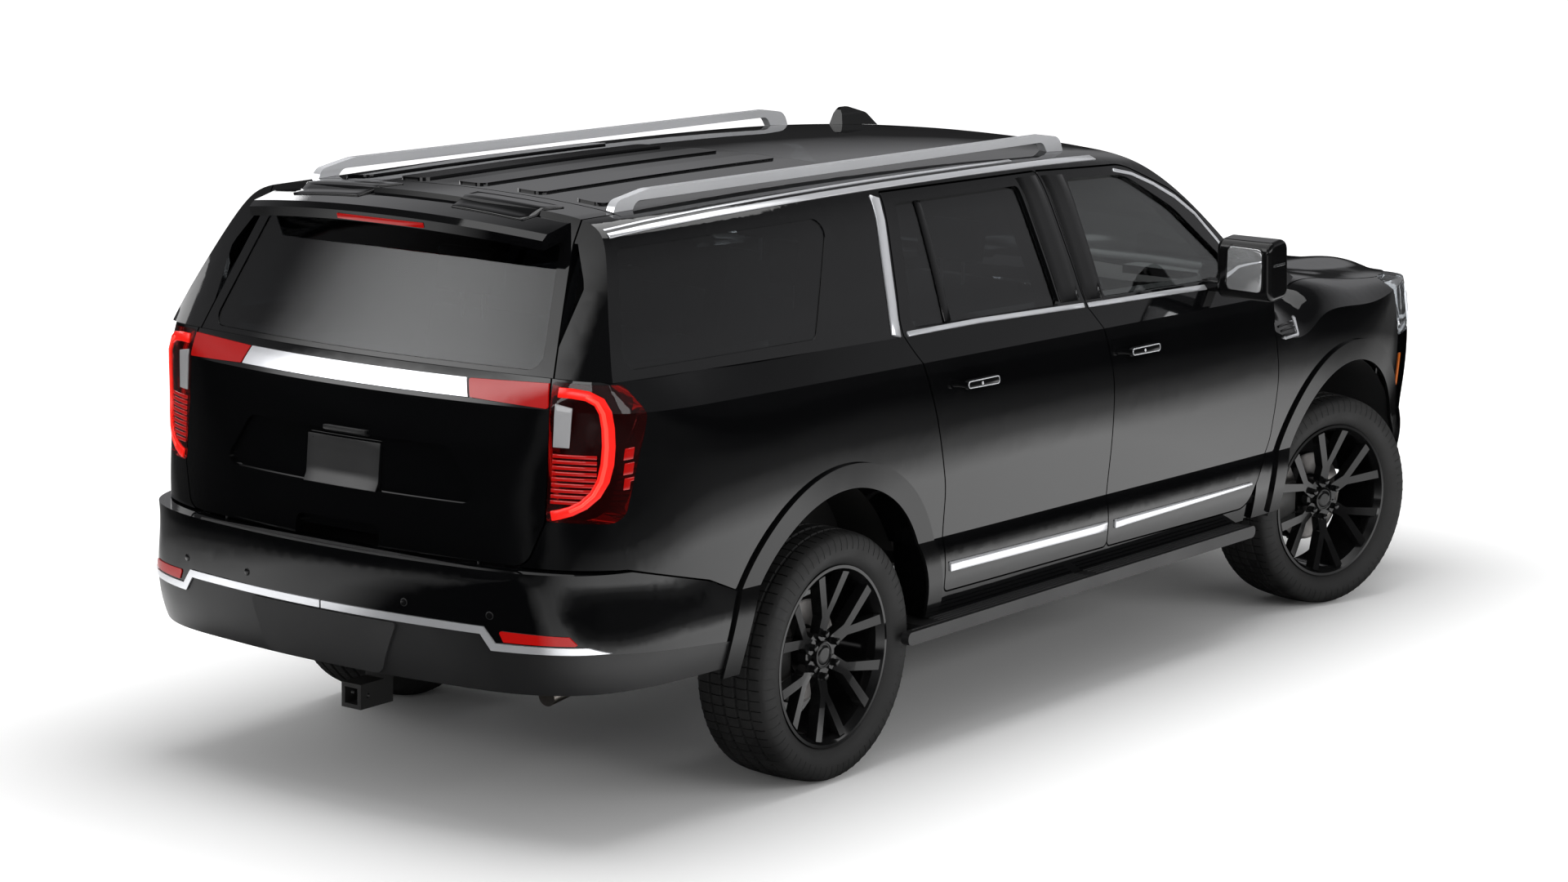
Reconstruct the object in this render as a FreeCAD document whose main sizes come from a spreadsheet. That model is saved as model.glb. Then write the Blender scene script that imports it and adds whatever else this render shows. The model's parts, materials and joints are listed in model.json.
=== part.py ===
# A full-size long-wheelbase utility vehicle, built as a parametric document.
# Millimetres. +Z is up, the front faces -Y, the vehicle's left side is +X.
# The origin is on the ground, on the middle plane, halfway along the length.
import FreeCAD
import Part
import Sketcher
import math
import os

from FreeCAD import Vector

os.makedirs("parts", exist_ok=True)
doc = FreeCAD.newDocument("Vehicle")

# Driving dimensions

SIZES = [
    # where the wheels stand
    ("wheelbase", 3406), ("front_axle", -1853), ("track_half", 870),
    ("tyre_radius", 412), ("tyre_width", 284), ("rim_radius", 297), ("bead_half", 103),
    ("kingpin_half", 800), ("steer_rest", -15),
    # the outer form of the body
    ("half_width", 1029), ("sill_half_width", 1009), ("crease_half_width", 1000),
    ("shoulder_half_width", 1014), ("belt_half_width", 957), ("sill_low_half", 955),
    ("rear_face", 2830), ("front_face", -2880), ("bumper_face", 2885),
    ("sill_low", 340), ("sill_mid", 580), ("crease_level", 700), ("wide_level", 1080),
    ("shoulder_level", 1300), ("belt_level", 1374), ("line_tilt", 12.5), ("belt_tilt", 19),
    ("roof_level", 1909),
    # wheel arches
    ("arch_radius", 505), ("lip_radius", 585), ("arch_rise", 460), ("lip_proud", 12),
    # doors and gaps
    ("door_gap", 6), ("skin", 25), ("door_depth", 100), ("door_inset", 30), ("cabin_half", 870),
    ("door_foot", 500), ("handle_long", 200), ("handle_out", 40), ("handle_thick", 12),
    ("glass_thick", 6), ("glass_sink", 14), ("seat_fit", 0.3),
    ("hinge_front_y", -1262), ("hinge_middle_y", -84),
    # the chassis
    ("rail_half", 480), ("rail_wide", 80), ("rail_tall", 150),
    ("floor_level", 610), ("floor_thick", 30), ("cargo_level", 760),
    ("axle_tube", 45), ("spare_radius", 345), ("spare_low", 490), ("disc_radius", 172),
    ("hub_radius", 78), ("stub_radius", 32),
    ("board_out", 1060), ("board_level", 418),
    # seats
    ("seat_wide", 520), ("seat_height", 300), ("back_tall", 500),
    # engine, gearbox and tank
    ("engine_wide", 600), ("engine_long", 720), ("engine_tall", 520), ("engine_low", 560),
    ("engine_rear", -1660), ("case_wide", 380), ("case_long", 350), ("case_tall", 330), ("case_low", 470),
    ("tail_wide", 240), ("tail_long", 790), ("tail_tall", 124.7), ("tail_low", 420),
    ("tank_wide", 330), ("tank_long", 990), ("tank_low", 400), ("tank_side", 40),
    # fittings
    ("rail_top", 1932), ("fin_top", 1943), ("rib_tall", 6), ("plate_wide", 310), ("plate_tall", 160),
    ("bar_proud", 6), ("strip_tall", 23), ("recess_deep", 16), ("pull_deep", 30),
]

sheet = doc.addObject("Spreadsheet::Sheet", "sizes")
for line, (alias, value) in enumerate(SIZES, start=1):
    sheet.set("A%d" % line, alias)
    sheet.set("B%d" % line, str(value))
    sheet.setAlias("B%d" % line, alias)
doc.recompute()


def size(alias):
    """A driving dimension, read back from the sheet."""
    return float(getattr(sheet, alias))


front_axle = size("front_axle")
rear_axle = front_axle + size("wheelbase")
axle_level = size("tyre_radius")
gap = size("door_gap")
line_tilt = size("line_tilt") / 1000
belt_tilt = size("belt_tilt") / 1000

parts = []


def keep(name, shape):
    """Add a finished shape to the document as one named piece."""
    feature = doc.addObject("Part::Feature", name)
    feature.Label = name
    feature.Shape = shape
    feature.Placement = shape.Placement
    parts.append(feature)
    return feature


# Helpers for outlines and solids

def loop(points):
    """A closed wire of straight runs; a third number on a point rounds that corner."""
    count = len(points)
    starts = []
    edges = []
    for index in range(count):
        here = Vector(*points[index][0])
        radius = points[index][1]
        before = Vector(*points[index - 1][0])
        after = Vector(*points[(index + 1) % count][0])
        to_before = (before - here).normalize()
        to_after = (after - here).normalize()
        turn = math.pi - to_before.getAngle(to_after)
        if radius > 0 and turn > 0.01:
            run = radius * math.tan(turn / 2)
            run = min(run, 0.48 * (before - here).Length, 0.48 * (after - here).Length)
            real = run / math.tan(turn / 2)
            enter = here + to_before * run
            leave = here + to_after * run
            middle = (to_before + to_after).normalize()
            bulge = real / math.cos(turn / 2) - real
            starts.append((enter, here + middle * bulge, leave))
        else:
            starts.append((here, None, here))
    for index in range(count):
        enter, middle, leave = starts[index]
        if middle is not None:
            edges.append(Part.Arc(enter, middle, leave).toShape())
        following = starts[(index + 1) % count][0]
        if (following - leave).Length > 0.01:
            edges.append(Part.LineSegment(leave, following).toShape())
    return Part.Wire(edges)


def side_loop(points):
    """An outline in the side view: (y, z) or (y, z, corner radius)."""
    return loop([((0, p[0], p[1]), p[2] if len(p) > 2 else 0) for p in points])


def rear_loop(points):
    """An outline in the rear view: (x, z) or (x, z, corner radius)."""
    return loop([((p[0], 0, p[1]), p[2] if len(p) > 2 else 0) for p in points])


def plan_loop(points):
    """An outline seen from above: (x, y) or (x, y, corner radius)."""
    return loop([((p[0], p[1], 0), p[2] if len(p) > 2 else 0) for p in points])


def across(wire, low, high):
    """A prism through the body from side to side."""
    face = Part.Face(wire)
    face.translate(Vector(low, 0, 0))
    return face.extrude(Vector(high - low, 0, 0))


def along(wire, low, high):
    """A prism through the body from front to rear."""
    face = Part.Face(wire)
    face.translate(Vector(0, low, 0))
    return face.extrude(Vector(0, high - low, 0))


def upward(wire, low, high):
    """A prism through the body from below to above."""
    face = Part.Face(wire)
    face.translate(Vector(0, 0, low))
    return face.extrude(Vector(0, 0, high - low))


def block(x0, x1, y0, y1, z0, z1):
    return Part.makeBox(x1 - x0, y1 - y0, z1 - z0, Vector(x0, y0, z0))


def shrink(wire, amount):
    """The same outline moved inwards by amount, or outwards when it is negative."""
    return wire.makeOffset2D(-amount)


def mirrored(shape):
    return shape.mirror(Vector(0, 0, 0), Vector(1, 0, 0))


def joined(shapes):
    first = shapes[0]
    if len(shapes) == 1:
        return first
    return first.fuse(shapes[1:]).removeSplitter()


def both(shape):
    """A shape and its mirror image in one piece of work."""
    return Part.Compound(solids(shape) + solids(mirrored(shape)))


def solids(shape):
    return shape.Solids


def rod(start, end, radius):
    start = Vector(*start)
    end = Vector(*end)
    return Part.makeCylinder(radius, (end - start).Length, start, end - start)


def pipe(points, radius):
    """A round bar along straight runs joined by arcs."""
    points = [Vector(*p) for p in points]
    edges = []
    here = points[0]
    for before, corner, after in zip(points, points[1:], points[2:]):
        back = (before - corner).normalize()
        ahead = (after - corner).normalize()
        half_turn = (math.pi - back.getAngle(ahead)) / 2
        run = 0.4 * min((before - corner).Length, (after - corner).Length)
        run = min(run, 4 * radius * math.tan(half_turn))
        bend = run / math.tan(half_turn)
        enter = corner + back * run
        leave = corner + ahead * run
        middle = corner + (back + ahead).normalize() * (bend / math.cos(half_turn) - bend)
        edges.append(Part.LineSegment(here, enter).toShape())
        edges.append(Part.Arc(enter, middle, leave).toShape())
        here = leave
    edges.append(Part.LineSegment(here, points[-1]).toShape())
    circle = Part.Wire(Part.makeCircle(radius, points[0], points[1] - points[0]))
    return Part.Wire(edges).makePipeShell([circle], True, False)


# The outer form of the body: closed rings stacked at sloping levels

def ring(points):
    right = [Vector(*p) for p in points]
    left = [Vector(-p[0], p[1], p[2]) for p in points[1:-1]]
    left.reverse()
    curve = Part.BSplineCurve()
    curve.interpolate(Points=right + left, PeriodicFlag=True)
    return Part.Wire([curve.toShape()])


def body_ring(level, half, rear, front, corner, tilt, taper, depth):
    """Plan of the body at a level; corner 0 is a soft rear corner, 1 a tight one."""
    half = half - depth
    rear = rear - depth
    front = front + depth
    shape = [
        (0, front), (220, front + 8), (450, front + 50), (700, front + 135),
        (half - 175, front + 245), (half - 90, front + 420), (half - 35, front + 680),
        (half - 6, -1600), (half, -800), (half, 0), (half, 800), (half - 4, 1600),
        (half - 16 + 2 * corner, rear - 560 + 60 * corner),
        (half - 50 + 26 * corner, rear - 330 + 130 * corner),
        (half - 118 + 54 * corner, rear - 195 + 80 * corner),
        (738 - 18 * corner - depth, rear - 95 + 31 * corner),
        (460, rear - 32), (220, rear - 7), (0, rear)]
    placed = []
    for x, y in shape:
        narrower = taper * y if x > 780 else 0
        placed.append((x - narrower, y, level + tilt * y))
    return ring(placed)


def body_form(depth=0):
    """The lower body in three bands, which meet at the sill crease and the shoulder."""
    rear = size("rear_face")
    front = size("front_face")
    sill = [
        body_ring(size("sill_low"), size("sill_low_half"), rear - 50, front + 120, 0, line_tilt, 0, depth),
        body_ring(450, 988, rear - 15, front + 50, 0, line_tilt, 0, depth),
        body_ring(size("sill_mid"), size("sill_half_width"), rear, front + 5, 0, line_tilt, 0, depth)]
    crease = body_ring(size("crease_level"), size("crease_half_width"), rear, front, 0,
                       line_tilt, 0, depth)
    wide = size("half_width")
    flank = [
        body_ring(800, wide - 18, rear - 8, front + 2, 0, line_tilt, 0, depth),
        body_ring(950, wide - 4, rear - 22, front + 10, 0, line_tilt, 0, depth),
        body_ring(size("wide_level"), wide, rear - 33, front + 25, 0, line_tilt, 0, depth),
        body_ring(1200, wide - 3, rear - 44, front + 50, 0.1, line_tilt, 0, depth)]
    shoulder = body_ring(size("shoulder_level"), size("shoulder_half_width"), rear - 55,
                         front + 90, 0.3, line_tilt, 0, depth)
    belt = [
        body_ring(1340, 984, rear - 75, front + 140, 0.65, 15.5 / 1000, 4.0 / 1000, depth),
        body_ring(size("belt_level"), size("belt_half_width"), rear - 100, front + 200, 1.0,
                  belt_tilt, 7.6 / 1000, depth)]
    bands = [sill + [crease], [crease] + flank + [shoulder], [shoulder] + belt]
    return joined([Part.makeLoft(band, True, False) for band in bands])


def side_taper(y):
    """How much narrower the body is at a place along its length."""
    table = [(-2200, 40), (-1600, 6), (-800, 0), (800, 0), (1600, 4), (2200, 14), (3000, 60)]
    for (y0, t0), (y1, t1) in zip(table, table[1:]):
        if y0 <= y <= y1:
            return t0 + (t1 - t0) * (y - y0) / (y1 - y0)
    return 0


def roof_form(depth=0):
    """Everything below the roof and between the leaning sides."""
    stations = [(-1750, 1590), (-1200, 1770), (-600, 1872), (0, 1904), (800, 1914), (1600, 1913),
                (2250, 1905), (3000, 1880)]
    top = size("roof_level")
    half = [(1013, 1240), (957, 1378), (905, 1500), (862, 1600), (818, 1700), (776, 1785),
            (735, 1838), (675, 1868), (580, 1884), (400, 1898), (200, 1906), (0, top)]
    grid = []
    for y, crown in stations:
        row = []
        for x, z in half:
            lowered = (top - crown) * max(0.0, (z - 1240) / (top - 1240))
            sunk = depth if z > 1860 else depth * max(0.0, (z - 1785) / 75)
            row.append(Vector(x - side_taper(y) - (depth if x > 700 else 0), y, z - lowered - sunk))
        left = [Vector(-v.x, v.y, v.z) for v in row[:-1]]
        left.reverse()
        grid.append(row + left)
    surface = Part.BSplineSurface()
    surface.interpolate(grid)
    return surface.toShape().extrude(Vector(0, 0, -900))


def screen_ring(level, front, rear, depth):
    half = 1020 - depth
    front = front + depth
    rear = rear - depth
    return ring([(x, y, level) for x, y in [
        (0, front), (250, front + 10), (500, front + 42), (720, front + 88), (860, front + 145),
        (950, front + 240), (half - 20, front + 420), (half, front + 750), (half, 400),
        (half, rear - 750), (half - 12, rear - 400), (972 - depth, rear - 220),
        (940 - depth, rear - 152), (900 - depth, rear - 115), (840 - depth, rear - 88),
        (720 - depth, rear - 62), (460, rear - 26), (220, rear - 6), (0, rear)]])


def screen_form(depth=0):
    """Everything behind the windscreen and in front of the rear glass."""
    levels = [(1200, -1590, 2810), (1410, -1330, 2725), (1600, -1085, 2620), (1750, -860, 2535),
              (1860, -620, 2470), (1980, -200, 2400)]
    return Part.makeLoft([screen_ring(z, front, rear, depth) for z, front, rear in levels], True, False)


def above_belt(shape, lift=0):
    """The part of a shape above the sloping belt plane."""
    low = size("belt_level") + lift
    cut = side_loop([(-3200, low - 3200 * belt_tilt), (3200, low + 3200 * belt_tilt),
                     (3200, 2300), (-3200, 2300)])
    return shape.common(across(cut, -1300, 1300))


lower = body_form()
glasshouse = roof_form().common(screen_form())
upper = above_belt(glasshouse)


# Doors, their glass and the body sides

def side_blank(wire, low=300):
    """The body between an outline in the side view and a plane low to the left."""
    prism = across(wire, low, 1300)
    pieces = [form.common(prism) for form in (lower, upper)]
    return joined([piece for piece in pieces if piece.Volume > 1])


def layer(blank, outer, inner, rearward=0):
    """The part of a blank between two depths, measured inwards from the side."""
    start = blank.translated(Vector(-outer, 0, 0)) if outer else blank
    return start.cut(blank.translated(Vector(-inner, -rearward, 0)))


foot = size("door_foot")
front_hinge = size("hinge_front_y")
middle_hinge = size("hinge_middle_y")

front_door_outline = side_loop([
    (middle_hinge - 4, foot + 14, 20), (-1085, foot, 110), (front_hinge + 17, 720, 160),
    (front_hinge + 6, 985, 400), (front_hinge + 84, 1290, 120), (front_hinge + 138, 1352, 40),
    (-872, 1666, 500), (-530, 1806, 300), (44, 1828, 12), (26, 1392, 300), (middle_hinge + 22, 1120, 500)])
rear_door_outline = side_loop([
    (middle_hinge + 2, foot + 14, 20), (middle_hinge + 28, 1120, 500), (32, 1392, 300),
    (50, 1828, 12), (1000, 1836, 12), (1148, 1396, 200), (1045, 1120, 500), (972, 880, 400),
    (952, 660, 300), (944, foot + 26, 20)])
front_window = side_loop([
    (-905, 1372, 20), (-103, 1392, 20), (-115, 1792, 25), (-500, 1779, 260), (-762, 1640, 300),
    (-1010, 1420, 30)])
rear_window = side_loop([
    (186, 1396, 20), (1080, 1416, 25), (950, 1800, 25), (202, 1796, 20)])


def handle(y, z):
    """A pull bar on two feet, proud of the door's skin; the bar passes a finger's width off it."""
    half = size("handle_long") / 2
    grip = side_loop([(y - half, z - 17, 16), (y + half, z - 13, 16), (y + half, z + 17, 16), (y - half,
        z + 15, 16)])
    prism = across(grip, 800, 1300)
    skin_side = lower.common(prism)
    bar = skin_side.translated(Vector(size("handle_out"), 0, 0))
    bar = bar.cut(skin_side.translated(Vector(size("handle_out") - size("handle_thick"), 0, 0)))
    feet = []
    for place in (y - half + 16, y + half - 16):
        foot_round = Part.makeCylinder(9, 300, Vector(800, place, z), Vector(1, 0, 0))
        reach = lower.common(foot_round).translated(Vector(size("handle_out") - 4, 0, 0))
        feet.append(reach.common(block(970, 1300, place - 20, place + 20, z - 20, z + 20)))
    return [bar] + feet


def door(outline, window, name, handle_place):
    blank = side_blank(outline)
    inner_blank = side_blank(shrink(outline, size("door_inset")))
    skin = layer(blank, 0, size("skin"))
    inner = layer(inner_blank, size("skin"), size("door_depth"))
    hole = across(window, 300, 1300)
    shape = skin.fuse([inner] + handle(*handle_place)).cut(hole).removeSplitter()
    pane_blank = side_blank(shrink(window, 0.3))
    pane = layer(pane_blank, size("glass_sink"), size("glass_sink") + size("glass_thick"))
    keep("door_%s_left" % name, shape)
    keep("door_%s_right" % name, mirrored(shape))
    keep("glass_%s_left" % name, pane)
    keep("glass_%s_right" % name, mirrored(pane))


door(front_door_outline, front_window, "front", (-209, 1206))
door(rear_door_outline, rear_window, "rear", (834, 1221))

arch_level = size("arch_rise")


def wheel_round(axle, radius, low, high):
    """A round cut over a wheel, open downwards."""
    top = Part.makeCylinder(radius, high - low, Vector(low, axle, arch_level), Vector(1, 0, 0))
    foot_block = block(low, high, axle - radius, axle + radius, 0, arch_level)
    return top.fuse(foot_block)


fender_rear = -1088
fender_top = 1284
fender_outline = side_loop([
    (fender_rear, 446, 10), (fender_rear, fender_top, 0), (front_hinge - 0.3, fender_top, 0),
    (front_hinge - 0.3, 1500, 0), (-2500, 1500, 0), (-2500, 1232, 0), (-2262, 1226, 20), (-2330, 1000, 20),
    (-2336, 440, 0), (-1800, 440, 0)])
side_outline = side_loop([
    (front_hinge + 2, 446, 10), (1030, 446, 10), (1060, 700, 0), (2050, 710, 0), (2226, 780, 60),
    (2560, 859, 10), (2900, 859, 0), (2900, 2000, 0), (-640, 2000, 0), (-1200, 1520, 0), (-1420, 1330, 0),
    (front_hinge + 2, 1280, 0)])
gate_outline = rear_loop([
    (-690, 862, 60), (690, 862, 60), (738, 1000, 60), (735, 1330, 100), (722, 1420, 60), (632, 1800, 40),
    (626, 2000, 0), (-626, 2000, 0), (-632, 1800, 40), (-722, 1420, 60), (-735, 1330, 100), (-738, 1000,
        60)])
screen_outline = rear_loop([
    (-845, 1324, 0), (845, 1324, 0), (800, 1440, 200), (655, 1836, 60), (-655, 1836, 60), (-800, 1440,
        200)])
quarter_window = side_loop([
    (1600, 1440, 40), (2545, 1450, 40), (2396, 1788, 40), (1345, 1792, 40)])
lamp_outline = rear_loop([(744, 1002, 10), (1100, 1002, 10), (1100, 1410, 10), (734, 1418, 10)])
lamp_side = side_loop([(2575, 1000, 60), (2900, 1000, 0), (2900, 1420, 0), (2560, 1416, 20), (2508, 1330,
    60)])


def cabin_space():
    """The hollow of the cabin: leaning sides, and a rear end that narrows to the gate."""
    half = size("cabin_half")
    section = rear_loop([
        (-half, 300), (half, 300), (half, 1290), (half - 18, 1380), (half - 70, 1500), (half - 158, 1700),
        (650, 1800), (-650, 1800), (158 - half, 1700), (70 - half, 1500), (18 - half, 1380), (-half, 1290)])
    tail = plan_loop([(0, -1300), (half, -1300), (half, 2330), (half - 20, 2470), (745, 2570), (700, 2650),
                      (-700, 2650), (-745, 2570), (20 - half, 2470), (-half, 2330), (-half, -1300)])
    low = upward(tail, 300, 1440)
    face = Part.Face(tail)
    face.translate(Vector(0, 0, 1440))
    high = face.extrude(Vector(0, -160, 400))
    return along(section, -1300, 2700).common(low.fuse(high))


def buffer(y, z):
    """A rubber stop on the door frame, just behind the skin of the closed door."""
    pad = Part.Wire(Part.makeCircle(5, Vector(0, y, z), Vector(1, 0, 0)))
    return layer(side_blank(pad), size("skin") + size("seat_fit"), size("skin") + gap + 4)


side_wall = side_blank(side_outline, 300).cut(cabin_space())
side_wall = side_wall.cut(block(0, 656, -3000, 2257, 1700, 2100))
side_wall = side_wall.cut(along(shrink(gate_outline, -gap), 2240, 3100))
side_wall = side_wall.cut(wheel_round(rear_axle, size("arch_radius") + 20, 0, 1300))
side_wall = side_wall.cut(along(screen_outline, -2000, -300))
lamp_hole = along(shrink(lamp_outline, -0.5), 2400, 3000).common(across(shrink(lamp_side, -0.5), 500, 1300))
side_wall = side_wall.cut(lamp_hole)
fender_zone = across(side_loop([(-1300, 400), (fender_rear + 0.3, 400), (fender_rear + 0.3,
    fender_top + 0.3),
                                (-1300, fender_top + 0.3)]), 300, 1300)
side_wall = side_wall.cut(fender_zone.cut(lower.translated(Vector(-25.3, 0, -25.3))))
for outline in (front_door_outline, rear_door_outline):
    shut_blank = side_blank(shrink(outline, -gap))
    side_wall = side_wall.cut(layer(shut_blank, 0, size("skin") + gap))
    side_wall = side_wall.cut(across(shrink(outline, size("door_inset") - 14), 300, 1300))
side_wall = side_wall.cut(across(quarter_window, 300, 1300))
side_wall = sorted(side_wall.Solids, key=lambda solid: -solid.Volume)[0]
side_wall = side_wall.fuse([buffer(-80, 900), buffer(964, 890)])
keep("body_side_left", side_wall)
keep("body_side_right", mirrored(side_wall))
quarter_pane = layer(side_blank(shrink(quarter_window, 0.3)), 4, 10)
keep("quarter_glass", both(quarter_pane))

# Roof, windscreen and rear gate

def roof_blank(wire):
    return upper.common(upward(wire, 1500, 2100))


roof_outline = plan_loop([(-655.5, -700), (655.5, -700), (655.5, 2254), (-655.5, 2254)])
roof_panel = roof_blank(roof_outline)
roof_panel = roof_panel.cut(roof_panel.translated(Vector(0, 60, -45)))
roof_panel = roof_panel.cut(along(screen_outline, -2000, -300))
glass_outline = plan_loop([(-480, -380, 60), (480, -380, 60), (480, 900, 60), (-480, 900, 60)])
roof_panel = roof_panel.cut(upward(glass_outline, 1500, 2100))
roof_solids = sorted(roof_panel.Solids, key=lambda solid: -solid.Volume)
roof_panel = roof_solids[0]
rib_gap = 240
ribs = []
for index in (-2, -1, 0, 1, 2):
    rib = upward(plan_loop([
        (index * rib_gap - 55, 960, 30), (index * rib_gap + 55, 960, 30),
        (index * rib_gap + 55, 2200, 30), (index * rib_gap - 55, 2200, 30)]), 1800, 2100)
    ribs.append(upper.translated(Vector(0, 0, size("rib_tall"))).common(rib).common(block(-700, 700, 0,
        2300, 1880, 2000)))
roof_panel = roof_panel.fuse(ribs)
keep("roof_panel", roof_panel)
roof_pane = roof_blank(shrink(glass_outline, 0.3))
roof_pane = roof_pane.cut(roof_pane.translated(Vector(0, 0, -6)))
keep("roof_glass", roof_pane)

windscreen = glasshouse.common(along(shrink(screen_outline, 0.3), -2000, -300))
windscreen = windscreen.cut(windscreen.translated(Vector(0, 14, 0)))
windscreen = sorted(windscreen.Solids, key=lambda solid: -solid.Volume)[0]
keep("windscreen", windscreen)

def spoiler():
    """The raised tail of the roof, carried by the gate."""
    wires = []
    for x, drop, short in ((-600, 34, 60), (-300, 8, 12), (0, 0, 0), (300, 8, 12), (600, 34, 60)):
        points = [(2268, 1903), (2440, 1890), (2600 - short, 1866), (2622 - short, 1848), (2614 - short,
            1818),
                  (2480, 1835), (2268, 1860)]
        wires.append(Part.makePolygon([Vector(x, y, z - drop) for y, z in points + points[:1]]))
    shape = Part.makeLoft(wires, True, False)
    return shape


gate_hinge_y = 2262
gate_prism = along(gate_outline, gate_hinge_y, 3000)
wide_prism = along(shrink(gate_outline, -60), gate_hinge_y - 60, 3000)
gate_form = joined([lower.common(wide_prism), upper.common(wide_prism)])
gate_blank = gate_form.common(gate_prism)
gate = gate_blank.cut(gate_form.translated(Vector(0, -70, -45)))
gate_edge = gate_form.translated(Vector(0, -25, -14))
gate = gate.cut(gate_edge.cut(along(shrink(gate_outline, 30), 2000, 3100)))
gate_window = rear_loop([
    (-676, 1440, 40), (676, 1440, 40), (590, 1800, 40), (-590, 1800, 40)])
gate = gate.cut(along(gate_window, 2000, 3000))
gate_solids = sorted(gate.Solids, key=lambda solid: -solid.Volume)
gate = gate_solids[0]


def below_skin(outline, deep):
    """The outer layer of the gate inside an outline in the rear view."""
    return along(outline, 2400, 3000).cut(gate_blank.translated(Vector(0, -deep, 0)))


def on_skin(outline, form, inner, outer):
    """A layer that lies on a form, between two distances behind it."""
    prism = along(outline, 2300, 3000)
    return form.translated(Vector(0, outer, 0)).common(prism).cut(form.translated(Vector(0, inner, 0)))


plate_recess = rear_loop([(-405, 1197, 25), (405, 1197, 25), (525, 1030, 30), (-525, 1030, 30)])
pull_recess = rear_loop([(-172, 838, 30), (172, 838, 30), (172, 926, 30), (-172, 926, 30)])
gate = gate.cut(below_skin(plate_recess, size("recess_deep"))).cut(below_skin(pull_recess,
    size("pull_deep")))
plate_half = size("plate_wide") / 2
plate_top = 1180
plate_low = plate_top - size("plate_tall")
plate_rim = rear_loop([(-plate_half, plate_low, 18), (plate_half, plate_low, 18),
                       (plate_half, plate_top, 18), (-plate_half, plate_top, 18)])
rim = on_skin(plate_rim, gate_blank, -size("recess_deep") - 4, -size("recess_deep") + 5)
rim = rim.cut(along(shrink(plate_rim, 9), 2000, 3000))
gate = gate.fuse([rim, spoiler()])
bar_outline = rear_loop([(-440, 1404, 0), (440, 1404, 0), (463, 1350, 0), (-463, 1350, 0)])
keep("gate_bar", on_skin(bar_outline, gate_blank, 0.3, size("bar_proud")))
inner_lamp = rear_loop([(449, 1403, 4), (732, 1412, 6), (732, 1338, 6), (471, 1350, 4)])
keep("gate_lamps", both(on_skin(inner_lamp, gate_blank, 0.3, size("bar_proud"))))
keep("liftgate", gate)
gate_pane = upper.common(along(shrink(gate_window, 0.3), 2300, 3000))
gate_pane = gate_pane.translated(Vector(0, -4, 0)).cut(gate_pane.translated(Vector(0, -11, 0)))
gate_pane = sorted(gate_pane.Solids, key=lambda solid: -solid.Volume)[0]
keep("gate_glass", gate_pane)

# Front end: hood, fenders, bumper, grille and headlamps

def hood_form(depth=0):
    """Everything below the hood's surface, with a raised ridge each side of the middle."""
    stations = [(-3000, 1010), (-2900, 1090), (-2800, 1160), (-2650, 1222), (-2400, 1256),
                (-2000, 1284), (-1600, 1304), (-1150, 1318)]
    half = [(1120, -420), (1075, -250), (1030, -150), (985, -88), (930, -50), (860, -30), (760, -20),
            (660, -12), (600, 4), (530, 12), (460, 4), (360, -3), (180, 0), (0, 0)]
    grid = []
    for y, crown in stations:
        row = [Vector(x, y, crown + dz - depth) for x, dz in half]
        left = [Vector(-v.x, v.y, v.z) for v in row[:-1]]
        left.reverse()
        grid.append(row + left)
    surface = Part.BSplineSurface()
    surface.interpolate(grid)
    return surface.toShape().extrude(Vector(0, 0, -1000))


front_body = lower.common(block(-1200, 1200, -3000, front_hinge - 2, 200, 1500)).common(hood_form())
inner_form = body_form(45)
deep_form = body_form(75)
front_shell = front_body.cut(inner_form)

hood_outline = plan_loop([
    (-862, -1444, 20), (-720, -1478, 500), (-450, -1528, 900), (0, -1556, 0), (450, -1528, 900), (720,
        -1478, 500),
    (862, -1444, 20), (872, -2300, 200),
    (780, -2590, 300), (440, -2700, 900), (0, -2722, 0), (-440, -2700, 900), (-780, -2590, 300), (-872,
        -2300, 200)])
hood_prism = upward(hood_outline, 1000, 1500)
hood = front_body.common(hood_prism)
under = 172 / 1500


def hood_under(y):
    """Level of the hood's flat underside."""
    return 1258 + (y + 1440) * under


hood = hood.common(across(side_loop([
    (-2950, hood_under(-2950)), (-1400, hood_under(-1400)), (-1400, 1500), (-2950, 1500)]), -1200, 1200))
hood = sorted(hood.Solids, key=lambda solid: -solid.Volume)[0]
keep("hood", hood)

hood_gap = upward(shrink(hood_outline, -gap), 1000, 1500)
cowl = lower.common(hood_form()).common(block(-869.3, 869.3, -1600, -1270.3, 1225, 1400))
cowl = cowl.cut(hood_gap)
for side in (-1, 1):
    tongue = across(side_loop([
        (-1560, hood_under(-1560) - 0.3), (-1400, hood_under(-1400) - 0.3), (-1400, 1205), (-1560, 1205)]),
        side * 820 - 30, side * 820 + 30)
    cowl = cowl.fuse(tongue)
cowl = sorted(cowl.Solids, key=lambda solid: -solid.Volume)[0]
fender_blank = lower.common(across(fender_outline, 500, 1300)).common(hood_form())
fender = fender_blank.cut(lower.translated(Vector(-25, 0, -25)).common(hood_form(25)))
fender = fender.cut(block(0, 869.7, -3000, -1000, 0, 1500))
behind = lower.translated(Vector(-25, 0, -25)).common(block(860, 1300, front_hinge - 0.3, fender_rear + 5,
    300, 1500))
fender = fender.cut(behind)
fender = fender.cut(wheel_round(front_axle, size("arch_radius") + 20, 0, 1300))
fender = fender.cut(hood_gap).cut(across(shrink(front_door_outline, -gap), 300, 1300))
fender_parts = sorted(fender.Solids, key=lambda solid: -solid.Volume)
keep("fenders", both(fender_parts[0]))

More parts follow.
